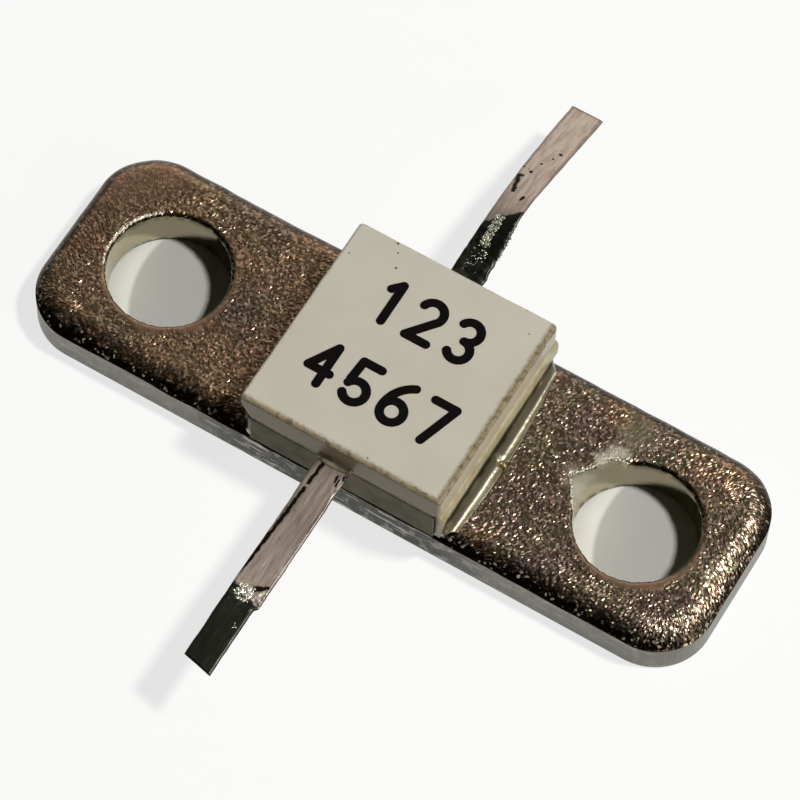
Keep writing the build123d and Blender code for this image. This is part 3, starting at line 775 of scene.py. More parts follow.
def flange_marks(vertices, kinds, lean):
    """How grained, sheared, darkened and punched each point of the flange is, from 0 to 1; the darkening is
    tarnish with painted shade.
    """
    height, flat = vertices[:, 2], vertices[:, :2]
    upper = ease(height, FLANGE_TOP - 0.12, FLANGE_TOP - 0.04)
    grain = (1 - 0.45 * ease(lean, 25, 50)) * np.where(kinds == ROLLED, 1, upper)
    # The die roll is painted dark, tarnish with a painted reflection of the dark surroundings: most along the
    # front, less elsewhere, and in a line at the very edge
    front = ease(edge_facing(flat), 0.15, 0.75)
    ragged = random_over(flat, 6.0, 21.0)
    turned = ease(lean + 9 * ragged, 22, 31) * front
    turned = np.maximum(turned, 0.9 * ease(lean + 5 * ragged, 18, 36) * (1 - front))
    rim = np.where(kinds == ROLLED, np.maximum(turned, 1 - ease(edge_distance(flat), 0.03, 0.08)), 0)
    for centre_x in (-HOLE_X, HOLE_X):
        off = flat - [centre_x, 0]
        angles, reach = np.arctan2(off[:, 1], off[:, 0]), np.linalg.norm(off, axis=1)
        to_front = np.cos(angles + math.radians(55))
        # The punch rubbed the rim smooth on the side that faces the front
        rubbed = (0.24 + 0.16 * random_over(circle(angles), 3, centre_x)) * np.maximum(to_front, 0) ** 1.5
        grain *= 0.22 + 0.78 * ease(reach - HOLE_RADIUS, rubbed - 0.06, rubbed + 0.2)
        # Black beads just inside the rim at the back, tarnish with painted shade; a thin line of painted
        # shade in front; and dashes of painted contact shadow at the wall's foot
        beads = np.array([random_at((a * 9.0, centre_x, z * 9.0), 3) for a, z in zip(angles, height)])
        shaded = ease(beads + 0.9 * np.cos(angles - math.radians(75)), 0.25, 0.75)
        shaded = np.maximum(shaded, 0.8 * ease(to_front, 0.1, 0.5))
        inside = ease(height, 1.13, 1.17) * (1 - ease(height, 1.27, 1.29))
        painted_shadow_dashes = (1 - ease(height, 0.08, 0.2)) * ease(beads, -0.15, 0.1)
        bite = tear_reach(angles) if centre_x > 0 else 0.0
        near = (kinds == PUNCHED) & (np.abs(off[:, 0]) < 3)
        rim += np.where(near, inside * shaded * (1 - ease(bite, 0.0, 0.1)) + 0.8 * painted_shadow_dashes, 0.0)
    grain[kinds == SHEARED] = 0
    grain *= ease(edge_distance(flat), 0.01, 0.05)
    # Less grain where the flux ran and at the worn left end
    for place, radius, _, share in FLANGE_STAINS:
        away = np.linalg.norm(flat - place[:2], axis=1)
        grain *= 1 - 0.5 * share * (1 - ease(away, radius * 0.4, radius))
    grain *= 0.45 + 0.55 * ease(flat[:, 0] - 0.9 * flat[:, 1], -10.9, -9.3)
    wall = np.where(kinds == PUNCHED, 1 - ease(height, 1.24, 1.295), 0.0)
    return {"grain": grain, "side": (kinds == SHEARED).astype(float), "rim": rim, "wall": wall}


def blast_relief(vertices, grain, generator, look):
    """Depth of the blasted surface below the plate's own top at each point, rougher to the right."""
    depth, random_share = np.zeros(len(vertices)), np.zeros(len(vertices))
    grained = grain > 0.01
    depth[grained] = 0.35 + 0.16 * random_over(vertices[grained, :2], 6.0, 0.0, 2)
    random_share[grained] = 1.15 * (1 + 0.4 * random_over(vertices[grained, :2], 0.8, 3.0, 2))
    depth += random_share * generator.random(len(vertices))
    rough = 0.8 + 0.08 * ease(vertices[:, 0], -4, 4)
    return look.relief_depth * rough * np.maximum(depth, 0) * grain


# Solder and resin


def fillet_points(wrap_x, outward, y):
    """Right or left end of the solder at one y: wall, hollow meniscus and foot, as (x, z)."""
    bow = min(0.16 * ((y + 0.5) / 2.6) ** 2, 0.22)
    pinch = 0.2 * math.exp(-(((y - BLOB_Y) / 0.09) ** 2)) if outward > 0 else 0.0
    wander = 0.02 * random_at((outward * 5.0, y * 1.6, 0.0))
    # Both ends are rounded off
    middle, half = (SOLDER_HIGH[1] + SOLDER_LOW[1]) / 2, (SOLDER_HIGH[1] - SOLDER_LOW[1]) / 2
    past = max(0.0, (abs(y - middle) - half + FILLET_END) / FILLET_END)
    swell = outward * (0.15 + 0.85 * math.sqrt(max(0.0, 1 - past**2)))
    foot = wrap_x + (0.58 - bow - pinch + wander) * swell
    wall = wrap_x + (0.165 + 0.006 * random_at((outward * 9.0, y * 2.3, 1.0))) * swell
    points = [(wrap_x, CHIP_HIGH[2]), (wall, CHIP_HIGH[2] - 0.28), (wall, CHIP_HIGH[2] - 0.55)]
    rise = CHIP_HIGH[2] - 0.75 - FLANGE_TOP
    points += [(wall + (foot - wall) * t, FLANGE_TOP + rise * (1 - t) ** 3.8) for t in np.linspace(0, 1, 14)]
    return points


def solder_mesh(material):
    """Layer under the chip with a meniscus at each end that bows out in the middle."""
    turned = np.linspace(0, FILLET_END, 12)[:-1]
    low, high = SOLDER_LOW[1], SOLDER_HIGH[1]
    straight = np.linspace(low + FILLET_END, high - FILLET_END, 110)
    wrap_right, wrap_left, seat = CHIP_HIGH[0] + FILM, CHIP_LOW[0] - FILM, CHIP_LOW[2] - FILM
    sections = []
    for y in (*low + turned, *straight, *high - turned[::-1]):
        section = fillet_points(wrap_right, 1, y) + fillet_points(wrap_left, -1, y)[::-1]
        section += [(wrap_left, seat), (wrap_right, seat)]
        reaches = [2.68 + 0.4 * max(0.0, z - FLANGE_TOP) / 0.12 for _, z in section]
        sections.append([(x, min(max(y, -reach), reach), z) for (x, z), reach in zip(section, reaches)])
    return loft("solder", sections, material)


def resin_band(name, wall_x, outward, front_gap, material):
    """Skin of set resin from the lid's underside down the solder's wall, ragged below."""
    sections, top = [], LID_LOW[2] - 0.003
    for y in np.linspace(CHIP_LOW[1] + front_gap, CHIP_HIGH[1] - 0.04, 150):
        bottom = 1.90 + 0.06 * random_at((outward * 3.0, y * 1.1, 0.0), 3)
        if outward > 0:
            bottom -= 0.42 * (1 - ease(y, CHIP_LOW[1], CHIP_LOW[1] + 0.35))
        swell = 0.045 + 0.008 * random_at((outward * 7.0, y * 1.7, 2.0))
        profile = [(-0.17, top), (-0.045, top), (0.45 * swell, top - 0.05), (0.95 * swell, top - 0.2)]
        profile += [(swell, top - 0.36), (0.8 * swell, bottom + 0.1), (0.45 * swell, bottom + 0.03)]
        profile += [(-0.01, bottom), (-0.10, bottom)]
        sections.append([(wall_x + outward * x, y, z) for x, z in profile])
    return loft(name, sections, material, outward < 0)


def lid_mesh(material):
    """The lid with its rounded upright corners, uneven top edge and chipped lower corner."""
    low, high = LID_LOW, LID_HIGH
    places, facing = [], []
    signs = ((1, 1), (-1, 1), (-1, -1), (1, -1))
    centres = [np.where(np.array(s) > 0, high[:2] - r, low[:2] + r) for s, r in zip(signs, LID_CORNERS)]
    for k, radius in enumerate(LID_CORNERS):
        normals = circle(np.radians(90 * k + np.linspace(0, 90, 9)))
        arc = centres[k] + radius * normals
        following = centres[(k + 1) % 4] + LID_CORNERS[(k + 1) % 4] * normals[-1]
        steps = np.linspace(0, 1, 80)[1:-1, None]
        places += [arc, arc[-1] + (following - arc[-1]) * steps]
        facing += [normals, np.repeat(normals[-1:], len(steps), 0)]
    places, facing = np.concatenate(places), np.concatenate(facing)
    edge = (0.07 + 0.02 * random_over(places, 2.6, 12.0))[:, None]
    places = places - facing * 0.006 * (1 + random_over(places, 0.7, 15.0, 2))[:, None]
    heights = (*np.linspace(low[2], high[2] - 0.1, 12), high[2] - 0.08)
    # Insets and heights up the sides, round the worn edge and on to the top
    levels = [(0.0, np.full_like(edge, z)) for z in heights]
    turns = np.linspace(0, math.pi / 2, 6)
    levels += [(edge * (1 - math.cos(t)), high[2] - edge * (1 - math.sin(t))) for t in turns]
    levels.append((0.1, np.full_like(edge, high[2])))
    rings = [np.column_stack([places - facing * inset, level]) for inset, level in levels]
    # The broken corner is pressed back on to its plane
    slope = 1 / np.array(LID_CHIP)
    for ring in rings:
        short = np.maximum(1 - (ring - low) @ slope, 0)
        ring += short[:, None] * slope / (slope @ slope)
    return loft("lid", rings, material)


def slit_filler(name, from_x, to_x, material):
    """Adhesive that rose to the front of the slit between chip and lid, with an uneven face."""
    low_z, high_z, back = CHIP_HIGH[2] + 0.002, LID_LOW[2] - 0.002, CHIP_LOW[1] + 0.06
    sections = []
    for x in np.linspace(from_x, to_x, 60):
        face = CHIP_LOW[1] + max(0.012 + 0.01 * random_at((x * 2.0, 0.0, 31.0), 3), 0.002)
        outline = [(face, low_z), (face + 0.004, (low_z + high_z) / 2), (face, high_z)]
        sections.append([(x, y, z) for y, z in outline + [(back, high_z), (back, low_z)]])
    return loft(name, sections, material, flip=True, smooth=False)


def lens_bead(name, centre, radii, material):
    """Flat-bottomed lens of set adhesive or solder."""
    rings, turns = 10, 40
    vertices, faces = [], []
    for k in range(rings):
        angle = math.pi / 2 * k / rings
        lift, reach = math.sin(angle), math.cos(angle)
        for x, y in circle(2 * math.pi * np.arange(turns) / turns):
            uneven = 1 + 0.05 * random_at((x, y, lift + centre[1]))
            vertices.append(np.array([reach * x * uneven, reach * y * uneven, lift]) * radii + centre)
        if k:
            faces += ring_band((k - 1) * turns, k * turns, turns)
    vertices.append((centre[0], centre[1], centre[2] + radii[2]))
    last = (rings - 1) * turns
    faces += [(last + t, last + (t + 1) % turns, len(vertices) - 1) for t in range(turns)]
    faces.append(tuple(range(turns))[::-1])
    return mesh_piece(name, vertices, faces, material)


# Leads


def track(bends):
    """Distance, rise and roll along a lead, with the corners between stations smoothed."""
    stations = np.array([(-TAPE_OVERLAP, 0.0, 0.0), *bends])
    fine = np.arange(-TAPE_OVERLAP - 1, stations[-1, 0] + 1, 0.02)
    blur = np.ones(17) / 17
    rise, roll = (np.convolve(np.interp(fine, stations[:, 0], stations[:, k]), blur, "same") for k in (1, 2))
    return fine, rise, roll


# A lead: where its middle is, where it leaves the chip, which way it goes, its bends and its length
Lead = namedtuple("Lead", "middle_x edge_y outward course length")
FRONT = Lead(FRONT_TAPE_X, CHIP_LOW[1], -1, track(FRONT_BENDS), FRONT_BENDS[-1][0])
REAR = Lead(REAR_TAPE_X, CHIP_HIGH[1], 1, track(REAR_BENDS), REAR_BENDS[-1][0])


def on_tape(lead, distance, across, height):
    """A point of a lead: distance from the chip's edge, place across, height over the middle."""
    fine, rise, roll = lead.course
    tilt = math.radians(np.interp(distance, fine, roll))
    x = lead.middle_x + across * math.cos(tilt) + height * math.sin(tilt)
    lift = np.interp(distance, fine, rise) - across * math.sin(tilt) + height * math.cos(tilt)
    return (x, lead.edge_y + lead.outward * distance, TAPE_MIDDLE_Z + lift)


def tape_mesh(name, lead, end, skew, relief, material):
    """Flat tape with rounded edges along its bends; relief gives (sideways, up) shifts of its skin."""
    across = np.sin(np.linspace(-math.pi / 2, math.pi / 2, 29)) * TAPE_WIDTH / 2
    sections = []
    for share in np.linspace(0, 1, round((end + TAPE_OVERLAP) / 0.035)):
        section = []
        for face, place in ((face, place) for face in (1, -1) for place in across[::face]):
            distance = -TAPE_OVERLAP + share * (end + place * skew + TAPE_OVERLAP)
            thick = TAPE_THICKNESS / 2 * math.sqrt(max(0.0, 1 - abs(2 * place / TAPE_WIDTH) ** 16))
            sideways, up = relief(distance, place, face)
            section.append(on_tape(lead, distance, place + sideways, face * thick + up))
        sections.append(section)
    return loft(name, sections, material, lead.outward < 0)


def on_top(lead, distance, across):
    """A point of a lead's upper face."""
    return on_tape(lead, distance, across, TAPE_THICKNESS / 2)


def groove_place(distance):
    """Where the front lead's drawn-in groove runs across the tape."""
    return GROOVE_START - GROOVE_DRIFT * distance


def front_relief(distance, place, face):
    """Groove along the left edge, a rougher stretch where the tarnish starts, and a nicked right edge."""
    out = ease(distance, 0.1, 0.4)
    edge = abs(place) / (TAPE_WIDTH / 2)
    sideways = 0.014 * edge**6 * random_at((distance * 1.7, math.copysign(4, place), 0.0), 3) * out
    # The right edge steps in where the tarnish starts
    sideways -= 0.09 * ease(place, 0.0, 0.45) * ease(distance, 4.45, 4.58)
    up = 0.0
    if face > 0:
        up += 0.004 * random_at((distance * 2.0, place * 14.0, 1.0))
        if 0.05 < distance < 4.0 and abs(distance - GROOVE_GAP) > 0.05:
            up -= 0.01 * math.exp(-(((place - groove_place(distance)) / 0.035) ** 2))
        # Scuffed right by the lid
        scuff = math.exp(-(((distance - 0.55) / 0.3) ** 2 + ((place - 0.36) / 0.12) ** 2))
        up += 0.02 * scuff * random_at((distance * 3.0, place * 18.0, 4.0))
        patch = math.exp(-(((distance - 4.35) / 0.28) ** 2))
        up += 0.03 * patch * random_at((distance * 7.0, place * 7.0, 2.0))
    return sideways, up * out


def rear_relief(distance, place, face):
    """Crumpled, tinned stretch near the lid with a burred right edge; smooth draw lines beyond."""
    out = ease(distance, 0.05, 0.3)
    crumple = (1 - ease(distance, 1.6, 2.1)) * out
    edge = place / (TAPE_WIDTH / 2)
    sideways = 0.012 * abs(edge) ** 6 * random_at((distance * 1.9, math.copysign(4, place), 5.0), 3) * out
    sideways += 0.05 * crumple * max(edge, 0) ** 6 * random_at((distance * 4.5, 0.0, 7.0), 3)
    up = 0.034 * crumple * random_at((distance * 3.6, place * 4.5, 8.0), 3)
    if face > 0:
        up += 0.004 * random_at((distance * 2.0, place * 14.0, 3.0)) * out
    return sideways, up


# Geometry nodes

# Inputs that every tree has, with their first values
GRAIN_INPUTS = {"Smallest": 0.01 * MM, "Largest": 0.05 * MM, "Height": 1.0, "Seed": 1}


def grain_tree(name, own_inputs, spread, subdivisions, material):
    """A Geometry Nodes tree that sets flattened grains of random size on the points that spread gives,
    turned as it says, makes them real and sets the finish."""
    tree = bpy.data.node_groups.new(name, "GeometryNodeTree")
    tree.interface.new_socket("Geometry", in_out="INPUT", socket_type="NodeSocketGeometry")
    for label, value in {**own_inputs, **GRAIN_INPUTS}.items():
        kind = "NodeSocketInt" if label == "Seed" else "NodeSocketFloat"
        tree.interface.new_socket(label, in_out="INPUT", socket_type=kind).default_value = value
    tree.interface.new_socket("Geometry", in_out="OUTPUT", socket_type="NodeSocketGeometry")
    add, given = partial(add_node, tree), tree.nodes.new("NodeGroupInput").outputs
    points, turn = spread(add, given)
    between = {0: given["Smallest"], 1: given["Largest"], "Seed": given["Seed"]}
    size = add("FunctionNodeRandomValue", between, {"data_type": "FLOAT"})
    flat = add("Math", (size, given["Height"]), MULTIPLY)
    scale = add("CombineXYZ", (size, size, flat))
    grain = add("GeometryNodeMeshIcoSphere", {"Radius": 1.0, "Subdivisions": subdivisions})
    placing = {"Points": points, "Instance": grain, "Rotation": turn, "Scale": scale}
    placed = add("GeometryNodeInstanceOnPoints", placing)
    real = add("GeometryNodeRealizeInstances", {"Geometry": placed})
    done = add("GeometryNodeSetMaterial", {"Geometry": real, "Material": material})
    add("NodeGroupOutput", {"Geometry": done}, output=None)
    return tree


def on_surface(add, given):
    """Points scattered over a surface, turned to face out of it."""
    where = {"Mesh": given["Geometry"], "Density": given["Density"], "Seed": given["Seed"]}
    points = add("GeometryNodeDistributePointsOnFaces", where, {"distribute_method": "RANDOM"})
    return points, points.node.outputs["Rotation"]


def on_path(add, given):
    """Points along a path, each set off it a little and not turned."""
    line = add("GeometryNodeMeshToCurve", {"Mesh": given["Geometry"]})
    points = add("GeometryNodeResampleCurve", {"Curve": line, "Length": given["Spacing"]}, {"mode": "LENGTH"})
    against = add("Math", (given["Spread"], -1.0), MULTIPLY)
    low = add("CombineXYZ", (against, against, against))
    high = add("CombineXYZ", (given["Spread"], given["Spread"], 0.0))
    off = {0: low, 1: high, "Seed": given["Seed"]}
    off = add("FunctionNodeRandomValue", off, {"data_type": "FLOAT_VECTOR"})
    return add("GeometryNodeSetPosition", {"Geometry": points, "Offset": off}), (0.0, 0.0, 0.0)


def bead_tree(material):
    """Flattened beads over a surface."""
    return grain_tree("beads_on_surface", {"Density": 1e8}, on_surface, 2, material)


def speck_tree(material):
    """Small angular specks along a path."""
    return grain_tree("specks_on_path", {"Spacing": 0.05 * MM, "Spread": 0.02 * MM}, on_path, 1, material)


def grow(name, rows, tree, slot, smooth, **values):
    """Runs a tree on rows of millimetre points and keeps the result as a plain mesh piece. One row is
    a path, more are a surface; the values are the tree's inputs, with lengths in millimetres."""
    width, mesh = len(rows[0]), bpy.data.meshes.new(name)
    starts = [row * width + k for row in range(len(rows) - 1) for k in range(width - 1)]
    faces = [(k, k + 1, k + width + 1, k + width) for k in starts]
    edges = [] if faces else [(k, k + 1) for k in range(width - 1)]
    mesh.from_pydata([[c * MM for c in point] for row in rows for point in row], edges, faces)
    piece = bpy.data.objects.new(name, mesh)
    bpy.context.scene.collection.objects.link(piece)
    modifier = piece.modifiers.new("nodes", "NODES")
    modifier.node_group = tree
    for item in tree.interface.items_tree:
        if item.in_out == "INPUT" and item.name in values:
            unit = MM if item.name in ("Spacing", "Spread", "Smallest", "Largest") else 1
            modifier[item.identifier] = values[item.name] * unit
    graph = bpy.context.evaluated_depsgraph_get()
    made = bpy.data.meshes.new_from_object(piece.evaluated_get(graph))
    piece.modifiers.clear()
    piece.data, made.name = made, name
    if not made.polygons:
        raise RuntimeError(f"{name} came out empty")
    made.polygons.foreach_set("use_smooth", np.full(len(made.polygons), smooth))
    keep_piece(piece, slot)


# Properties


class FlangeLook(bpy.types.PropertyGroup):
    """Size and colour of the flange's surface."""

    relief_spacing: FloatProperty(
        name="Relief spacing", description="Distance between points of the blasted surface, in mm",
        default=0.05, min=0.04,
    )
    relief_depth: FloatProperty(
        name="Relief depth", description="Depth of the blasted surface, in mm", default=0.015, min=0.0
    )
    grain_size: FloatProperty(
        name="Grain size", description="Width of one blast grain, in mm", default=0.07, min=0.01
    )
    seed: IntProperty(name="Seed", description="Seed of the random relief", default=11)
    top_colour_left: StringProperty(
        name="Top colour, left", description="sRGB hex of the red brown patches", default="#907761"
    )
    top_colour_right: StringProperty(
        name="Top colour, right", description="sRGB hex of the grey brown patches", default="#74665A"
    )
    worn_colour: StringProperty(
        name="Worn colour", description="sRGB hex where the grain is worn away", default="#A3836F"
    )
    straw_colour: StringProperty(
        name="Straw colour", description="sRGB hex of the straw tinted patches", default="#7F775D"
    )
    top_roughness: FloatProperty(
        name="Top roughness", description="Roughness of the plating on top",
        default=0.3, min=0.0, max=1.0, subtype="FACTOR",
    )
    side_colour: StringProperty(
        name="Side colour", description="sRGB hex of the sheared sides", default="#5C5A50"
    )
    side_streaks: StringProperty(
        name="Side streaks", description="sRGB hex of the paler streaks on the sides", default="#908E84"
    )
    wall_colour: StringProperty(
        name="Hole colour", description="sRGB hex of the holes' walls", default="#B5AD93"
    )


class LidLook(bpy.types.PropertyGroup):
    """Colours of the ceramic lid."""

    body_colour: StringProperty(name="Body colour", description="sRGB hex of the glaze", default="#C4C0B4")
    body_shade: StringProperty(
        name="Body shade", description="sRGB hex of its warmer patches", default="#C0BBAE"
    )
    edge_colour: StringProperty(
        name="Edge colour", description="sRGB hex of the worn edges", default="#85775A"
    )


class LeadLook(bpy.types.PropertyGroup):
    """Colours and tarnish of the leads."""

    bare_colour: StringProperty(name="Bare colour", description="sRGB hex of clean tape", default="#A4958B")
    light_colour: StringProperty(
        name="Light colour", description="sRGB hex of the tape's paler draw lines", default="#C6BAB0"
    )
    front_tarnish: FloatProperty(
        name="Front tarnish", description="Where the front lead turns black, in mm from the chip",
        default=4.35,
    )
    rear_tarnish: FloatProperty(
        name="Rear tarnish", description="Where the rear lead's black stretch ends, in mm from the chip",
        default=2.2,
    )


class StageLook(bpy.types.PropertyGroup):
    """Levels of the light."""

    key_level: FloatProperty(
        name="Key level", description="Light of the main lamp on a level surface, 1 is full",
        default=0.95, min=0.0,
    )
    side_level: FloatProperty(name="Side level", description="Light of the side panel", default=0.22, min=0.0)
    world_level: FloatProperty(
        name="World level", description="Light of the surroundings", default=0.015, min=0.0
    )
    lens: FloatProperty(name="Lens", description="Focal length of the camera", default=197.03, unit="CAMERA")


# Operators


class AttenuatorFlange(bpy.types.Operator):
    """Build the plated flange with its blasted top and torn rim"""

    bl_idname = "attenuator.flange"
    bl_label = "Flange"

    def execute(self, context):
        look = context.scene.flange_look
        piece = flange_mesh(look, nickel_plating(look))
        keep_piece(piece, "nickel_plated_copper", "mounting_flange")
        # Nickel torn up in beads along the holes' rims, painted near white and half matt: crumbs along the
        # tear, and a painted highlight of the key lamp on the left hole's rim
        tree = speck_tree(plain_finish("torn_nickel_painted_highlight", "#F6F4E8", "#D5D2C0", 14.0, 0.34, metallic=0.35))
        # Angles in degrees, distance from the wall, spacing and largest bead
        rims = {
            "rim_burr_left": (-HOLE_X, np.linspace(128, 205, 40), 0.09, 0.03, 0.062),
            "rim_burr_outer": (-HOLE_X, np.linspace(140, 196, 30), 0.14, 0.04, 0.04),
            "rim_burr_low": (-HOLE_X, np.linspace(200, 262, 30), 0.12, 0.09, 0.02),
            "rim_burr_right": (HOLE_X, TEAR_ANGLES, 0.03 + np.array(TEAR_REACHES), 0.04, 0.042),
        }
        for seed, (name, (centre_x, angles, off, spacing, largest)) in enumerate(rims.items(), 21):
            flat = circle(np.radians(angles)) * np.reshape(HOLE_RADIUS + off, (-1, 1))
            path = [(centre_x + x, y, FLANGE_TOP - 0.03) for x, y in flat]
            sizes = {"Spacing": spacing, "Spread": 0.02, "Smallest": 0.008, "Largest": largest, "Seed": seed}
            grow(name, [path], tree, "nickel_plated_copper", False, **sizes)
        return {"FINISHED"}


class AttenuatorSolder(bpy.types.Operator):
    """Build the solder fillets and dress the hidden joints"""

    bl_idname = "attenuator.solder"
    bl_label = "Solder"

    def execute(self, context):
        skin = solder_metal("base_solder_skin", "#B4B1A0", "#85816D", 1.50)
        keep_piece(solder_mesh(skin), "solder", "base_solder")
        joint = solder_metal("lead_joint_solder", "#B9B7AC", "#94917F", 9.0)
        for name in ("front_lead_solder", "rear_lead_solder"):
            dress(NODES[name], joint)
        return {"FINISHED"}


class AttenuatorCircuit(bpy.types.Operator):
    """Dress the chip and its fired films"""

    bl_idname = "attenuator.circuit"
    bl_label = "Chip and films"

    def execute(self, context):
        # Pressed alumina, sawn and left bare: painted dull grey-brown, darker than the white ceramic as
        # painted shade, with saw texture
        shaded_alumina = plain_finish("alumina_in_painted_shade", "#8C8673", "#7A7462", 1.8, 0.6, specular=0.2)
        dress(NODES["ceramic_substrate"], shaded_alumina)
        # Silver palladium paste, screened and fired: matt grey with a woven screen's unevenness
        fired = plain_finish("fired_silver_film", "#77715F", "#57523F", 3.0, 0.45, metallic=0.9)
        # Ruthenium oxide paste, screened and fired: near black, slightly glassy
        resistor = plain_finish("fired_resistor_film", "#26262A", "#17171A", 4.0, 0.4)
        # Lead glass, screened over the resistors: deep green, glossy
        glass = plain_finish("resistor_glass", "#2C4A3A", "#20392D", 2.0, 0.18)
        for name, node in NODES.items():
            if name.endswith(("metallization", "pad")):
                dress(node, fired)
            elif "resistor" in name:
                dress(node, glass if name.endswith("glaze") else resistor)
        return {"FINISHED"}


class AttenuatorLid(bpy.types.Operator):
    """Build the ceramic lid and dress its printed numerals"""

    bl_idname = "attenuator.lid"
    bl_label = "Lid and marking"

    def execute(self, context):
        keep_piece(lid_mesh(lid_ceramic(context.scene.lid_look)), "lid_ceramic", "ceramic_cover")
        # Baked epoxy ink, pad printed: near black, even, half matt
        dress(NODES["marking"], plain_finish("printed_ink", "#080506", "#0E0A0A", 5.0, 0.5, specular=0.05))
        # Grit broken out of the worn upper edges
        grit = plain_finish("edge_grit", "#5C4A30", "#2F2619", 30.0, 0.7)
        (left, front, _), (right, back, level) = LID_LOW + GRIT_INSET, LID_HIGH - GRIT_INSET
        paths = {
            "edge_grit_front": [(left + 0.078, front, level), (right - 0.028, front, level)],
            "edge_grit_right": [(right, front + 0.028, level), (right, back - 0.078, level)],
        }
        tree = speck_tree(grit)
        for seed, (name, path) in enumerate(paths.items(), 3):
            sizes = {"Spacing": 0.045, "Spread": 0.016, "Smallest": 0.002, "Largest": 0.014, "Seed": seed}
            grow(name, [path], tree, "lid_ceramic", False, **sizes)
        return {"FINISHED"}


class AttenuatorAdhesive(bpy.types.Operator):
    """Dress the adhesive and build the resin skins and exit beads"""

    bl_idname = "attenuator.adhesive"
    bl_label = "Adhesive and resin"

    def execute(self, context):
        # Filled epoxy, cured: dark brown, half gloss
        dress(NODES["cover_adhesive"], cured_epoxy())
        # Clear resin over bright metal: cream yellow, mottled, glossy
        resin = plain_finish("set_resin", "#B9AF92", "#9A8F6E", 1.6, 0.3, relief=0.003)
        keep_piece(resin_band("resin_right", CHIP_HIGH[0] + 0.19, 1, 0.03, resin), "adhesive")
        keep_piece(resin_band("resin_left", CHIP_LOW[0] - 0.19, -1, 0.3, resin), "adhesive")
        # The same epoxy, painted darker where it shows in the slit: painted shade between chip and lid
        slit = plain_finish("slit_epoxy_painted_shade", "#7A7058", "#4E4636", 3.0, 0.45)
        left, right = FRONT.middle_x - 0.5, FRONT.middle_x + 0.5
        keep_piece(slit_filler("slit_filler_left", CHIP_LOW[0] + 0.15, left, slit), "adhesive")
        keep_piece(slit_filler("slit_filler_right", right, CHIP_HIGH[0] - 0.02, slit), "adhesive")
        bead = plain_finish("exit_bead_resin", "#B4AC94", "#8F8770", 4.0, 0.3)
        for name, lead in (("exit_bead_front", FRONT), ("exit_bead_rear", REAR)):
            centre = (lead.middle_x, lead.edge_y, 2.575)
            keep_piece(lens_bead(name, centre, (0.53, 0.18, 0.17), bead), "adhesive")
        blob = plain_finish("solder_blob", "#B7A46A", "#8E7C45", 9.0, 0.2, metallic=0.6)
        centre = (3.32, BLOB_Y - 0.02, FLANGE_TOP - 0.01)
        keep_piece(lens_bead("solder_blob", centre, (0.105, 0.085, 0.08), blob), "solder")
        return {"FINISHED"}


class AttenuatorLeads(bpy.types.Operator):
    """Build both tape leads with their tarnish and tinned patches"""

    bl_idname = "attenuator.leads"
    bl_label = "Leads"

    def execute(self, context):
        look = context.scene.lead_look
        # The black stretch runs from the first level of y to the second. On the front lead it starts
        # beyond the tip, on the rear one under the lid
        black = (FRONT.edge_y - 99.0, FRONT.edge_y - look.front_tarnish)
        finish = silver_tape("front_tape", FRONT, look, 0.41, *black, FRONT_MARKS, FRONT_LOW[1], True)
        turn = math.radians(FRONT_SKEW)
        end = FRONT.length - TAPE_WIDTH * math.sin(turn)
        piece = tape_mesh("lead_front", FRONT, end, math.tan(turn), front_relief, finish)
        keep_piece(piece, "lead_tape", "front_lead")
        black = (REAR.edge_y - 99.0, REAR.edge_y + look.rear_tarnish)
        finish = silver_tape("rear_tape", REAR, look, -0.9, *black, REAR_MARKS, REAR_HIGH[1], False)
        piece = tape_mesh("lead_rear", REAR, REAR.length, 0.0, rear_relief, finish)
        keep_piece(piece, "lead_tape", "rear_lead")
        # Tin that froze in beads: bright, faintly green
        tree = bead_tree(plain_finish("frozen_tin", "#ECEEE0", "#989C86", 9.0, 0.27, metallic=0.75))
        # Reach along and across the lead, beads to the square metre and the largest one
        patches = {
            "tin_front": (FRONT, (4.06, 4.5), (-0.32, 0.14), 4.5e8, 0.055),
            "tin_front_speck": (FRONT, (5.1, 5.25), (0.15, 0.25), 4e8, 0.03),
            "tin_rear": (REAR, (1.35, 2.25), (-0.2, 0.06), 5.5e8, 0.05),
            "tin_rear_specks": (REAR, (0.5, 1.4), (-0.25, 0.15), 1.6e8, 0.026),
        }
        for seed, (name, (lead, reach, width, density, largest)) in enumerate(patches.items(), 5):
            across, height = np.linspace(*width, 6)[:: -lead.outward], TAPE_THICKNESS / 2 + 0.002
            rows = [[on_tape(lead, s, u, height) for u in across] for s in np.linspace(*reach, 16)]
            sizes = {"Density": density, "Smallest": 0.008, "Largest": largest, "Height": 0.25, "Seed": seed}
            grow(name, rows, tree, "solder", True, **sizes)
        # Burr of silver and tin along the right edge of the rear lead
        tree = speck_tree(plain_finish("silver_burr", "#A5A69C", "#55564C", 16.0, 0.3, metallic=0.8))
        path = [on_tape(REAR, s, TAPE_WIDTH / 2 - 0.01, 0.03) for s in np.linspace(1.1, 2.15, 30)]
        sizes = {"Spacing": 0.03, "Spread": 0.045, "Smallest": 0.012, "Largest": 0.05, "Seed": 31}
        grow("burr_rear", [path], tree, "lead_tape", False, **sizes)
        return {"FINISHED"}


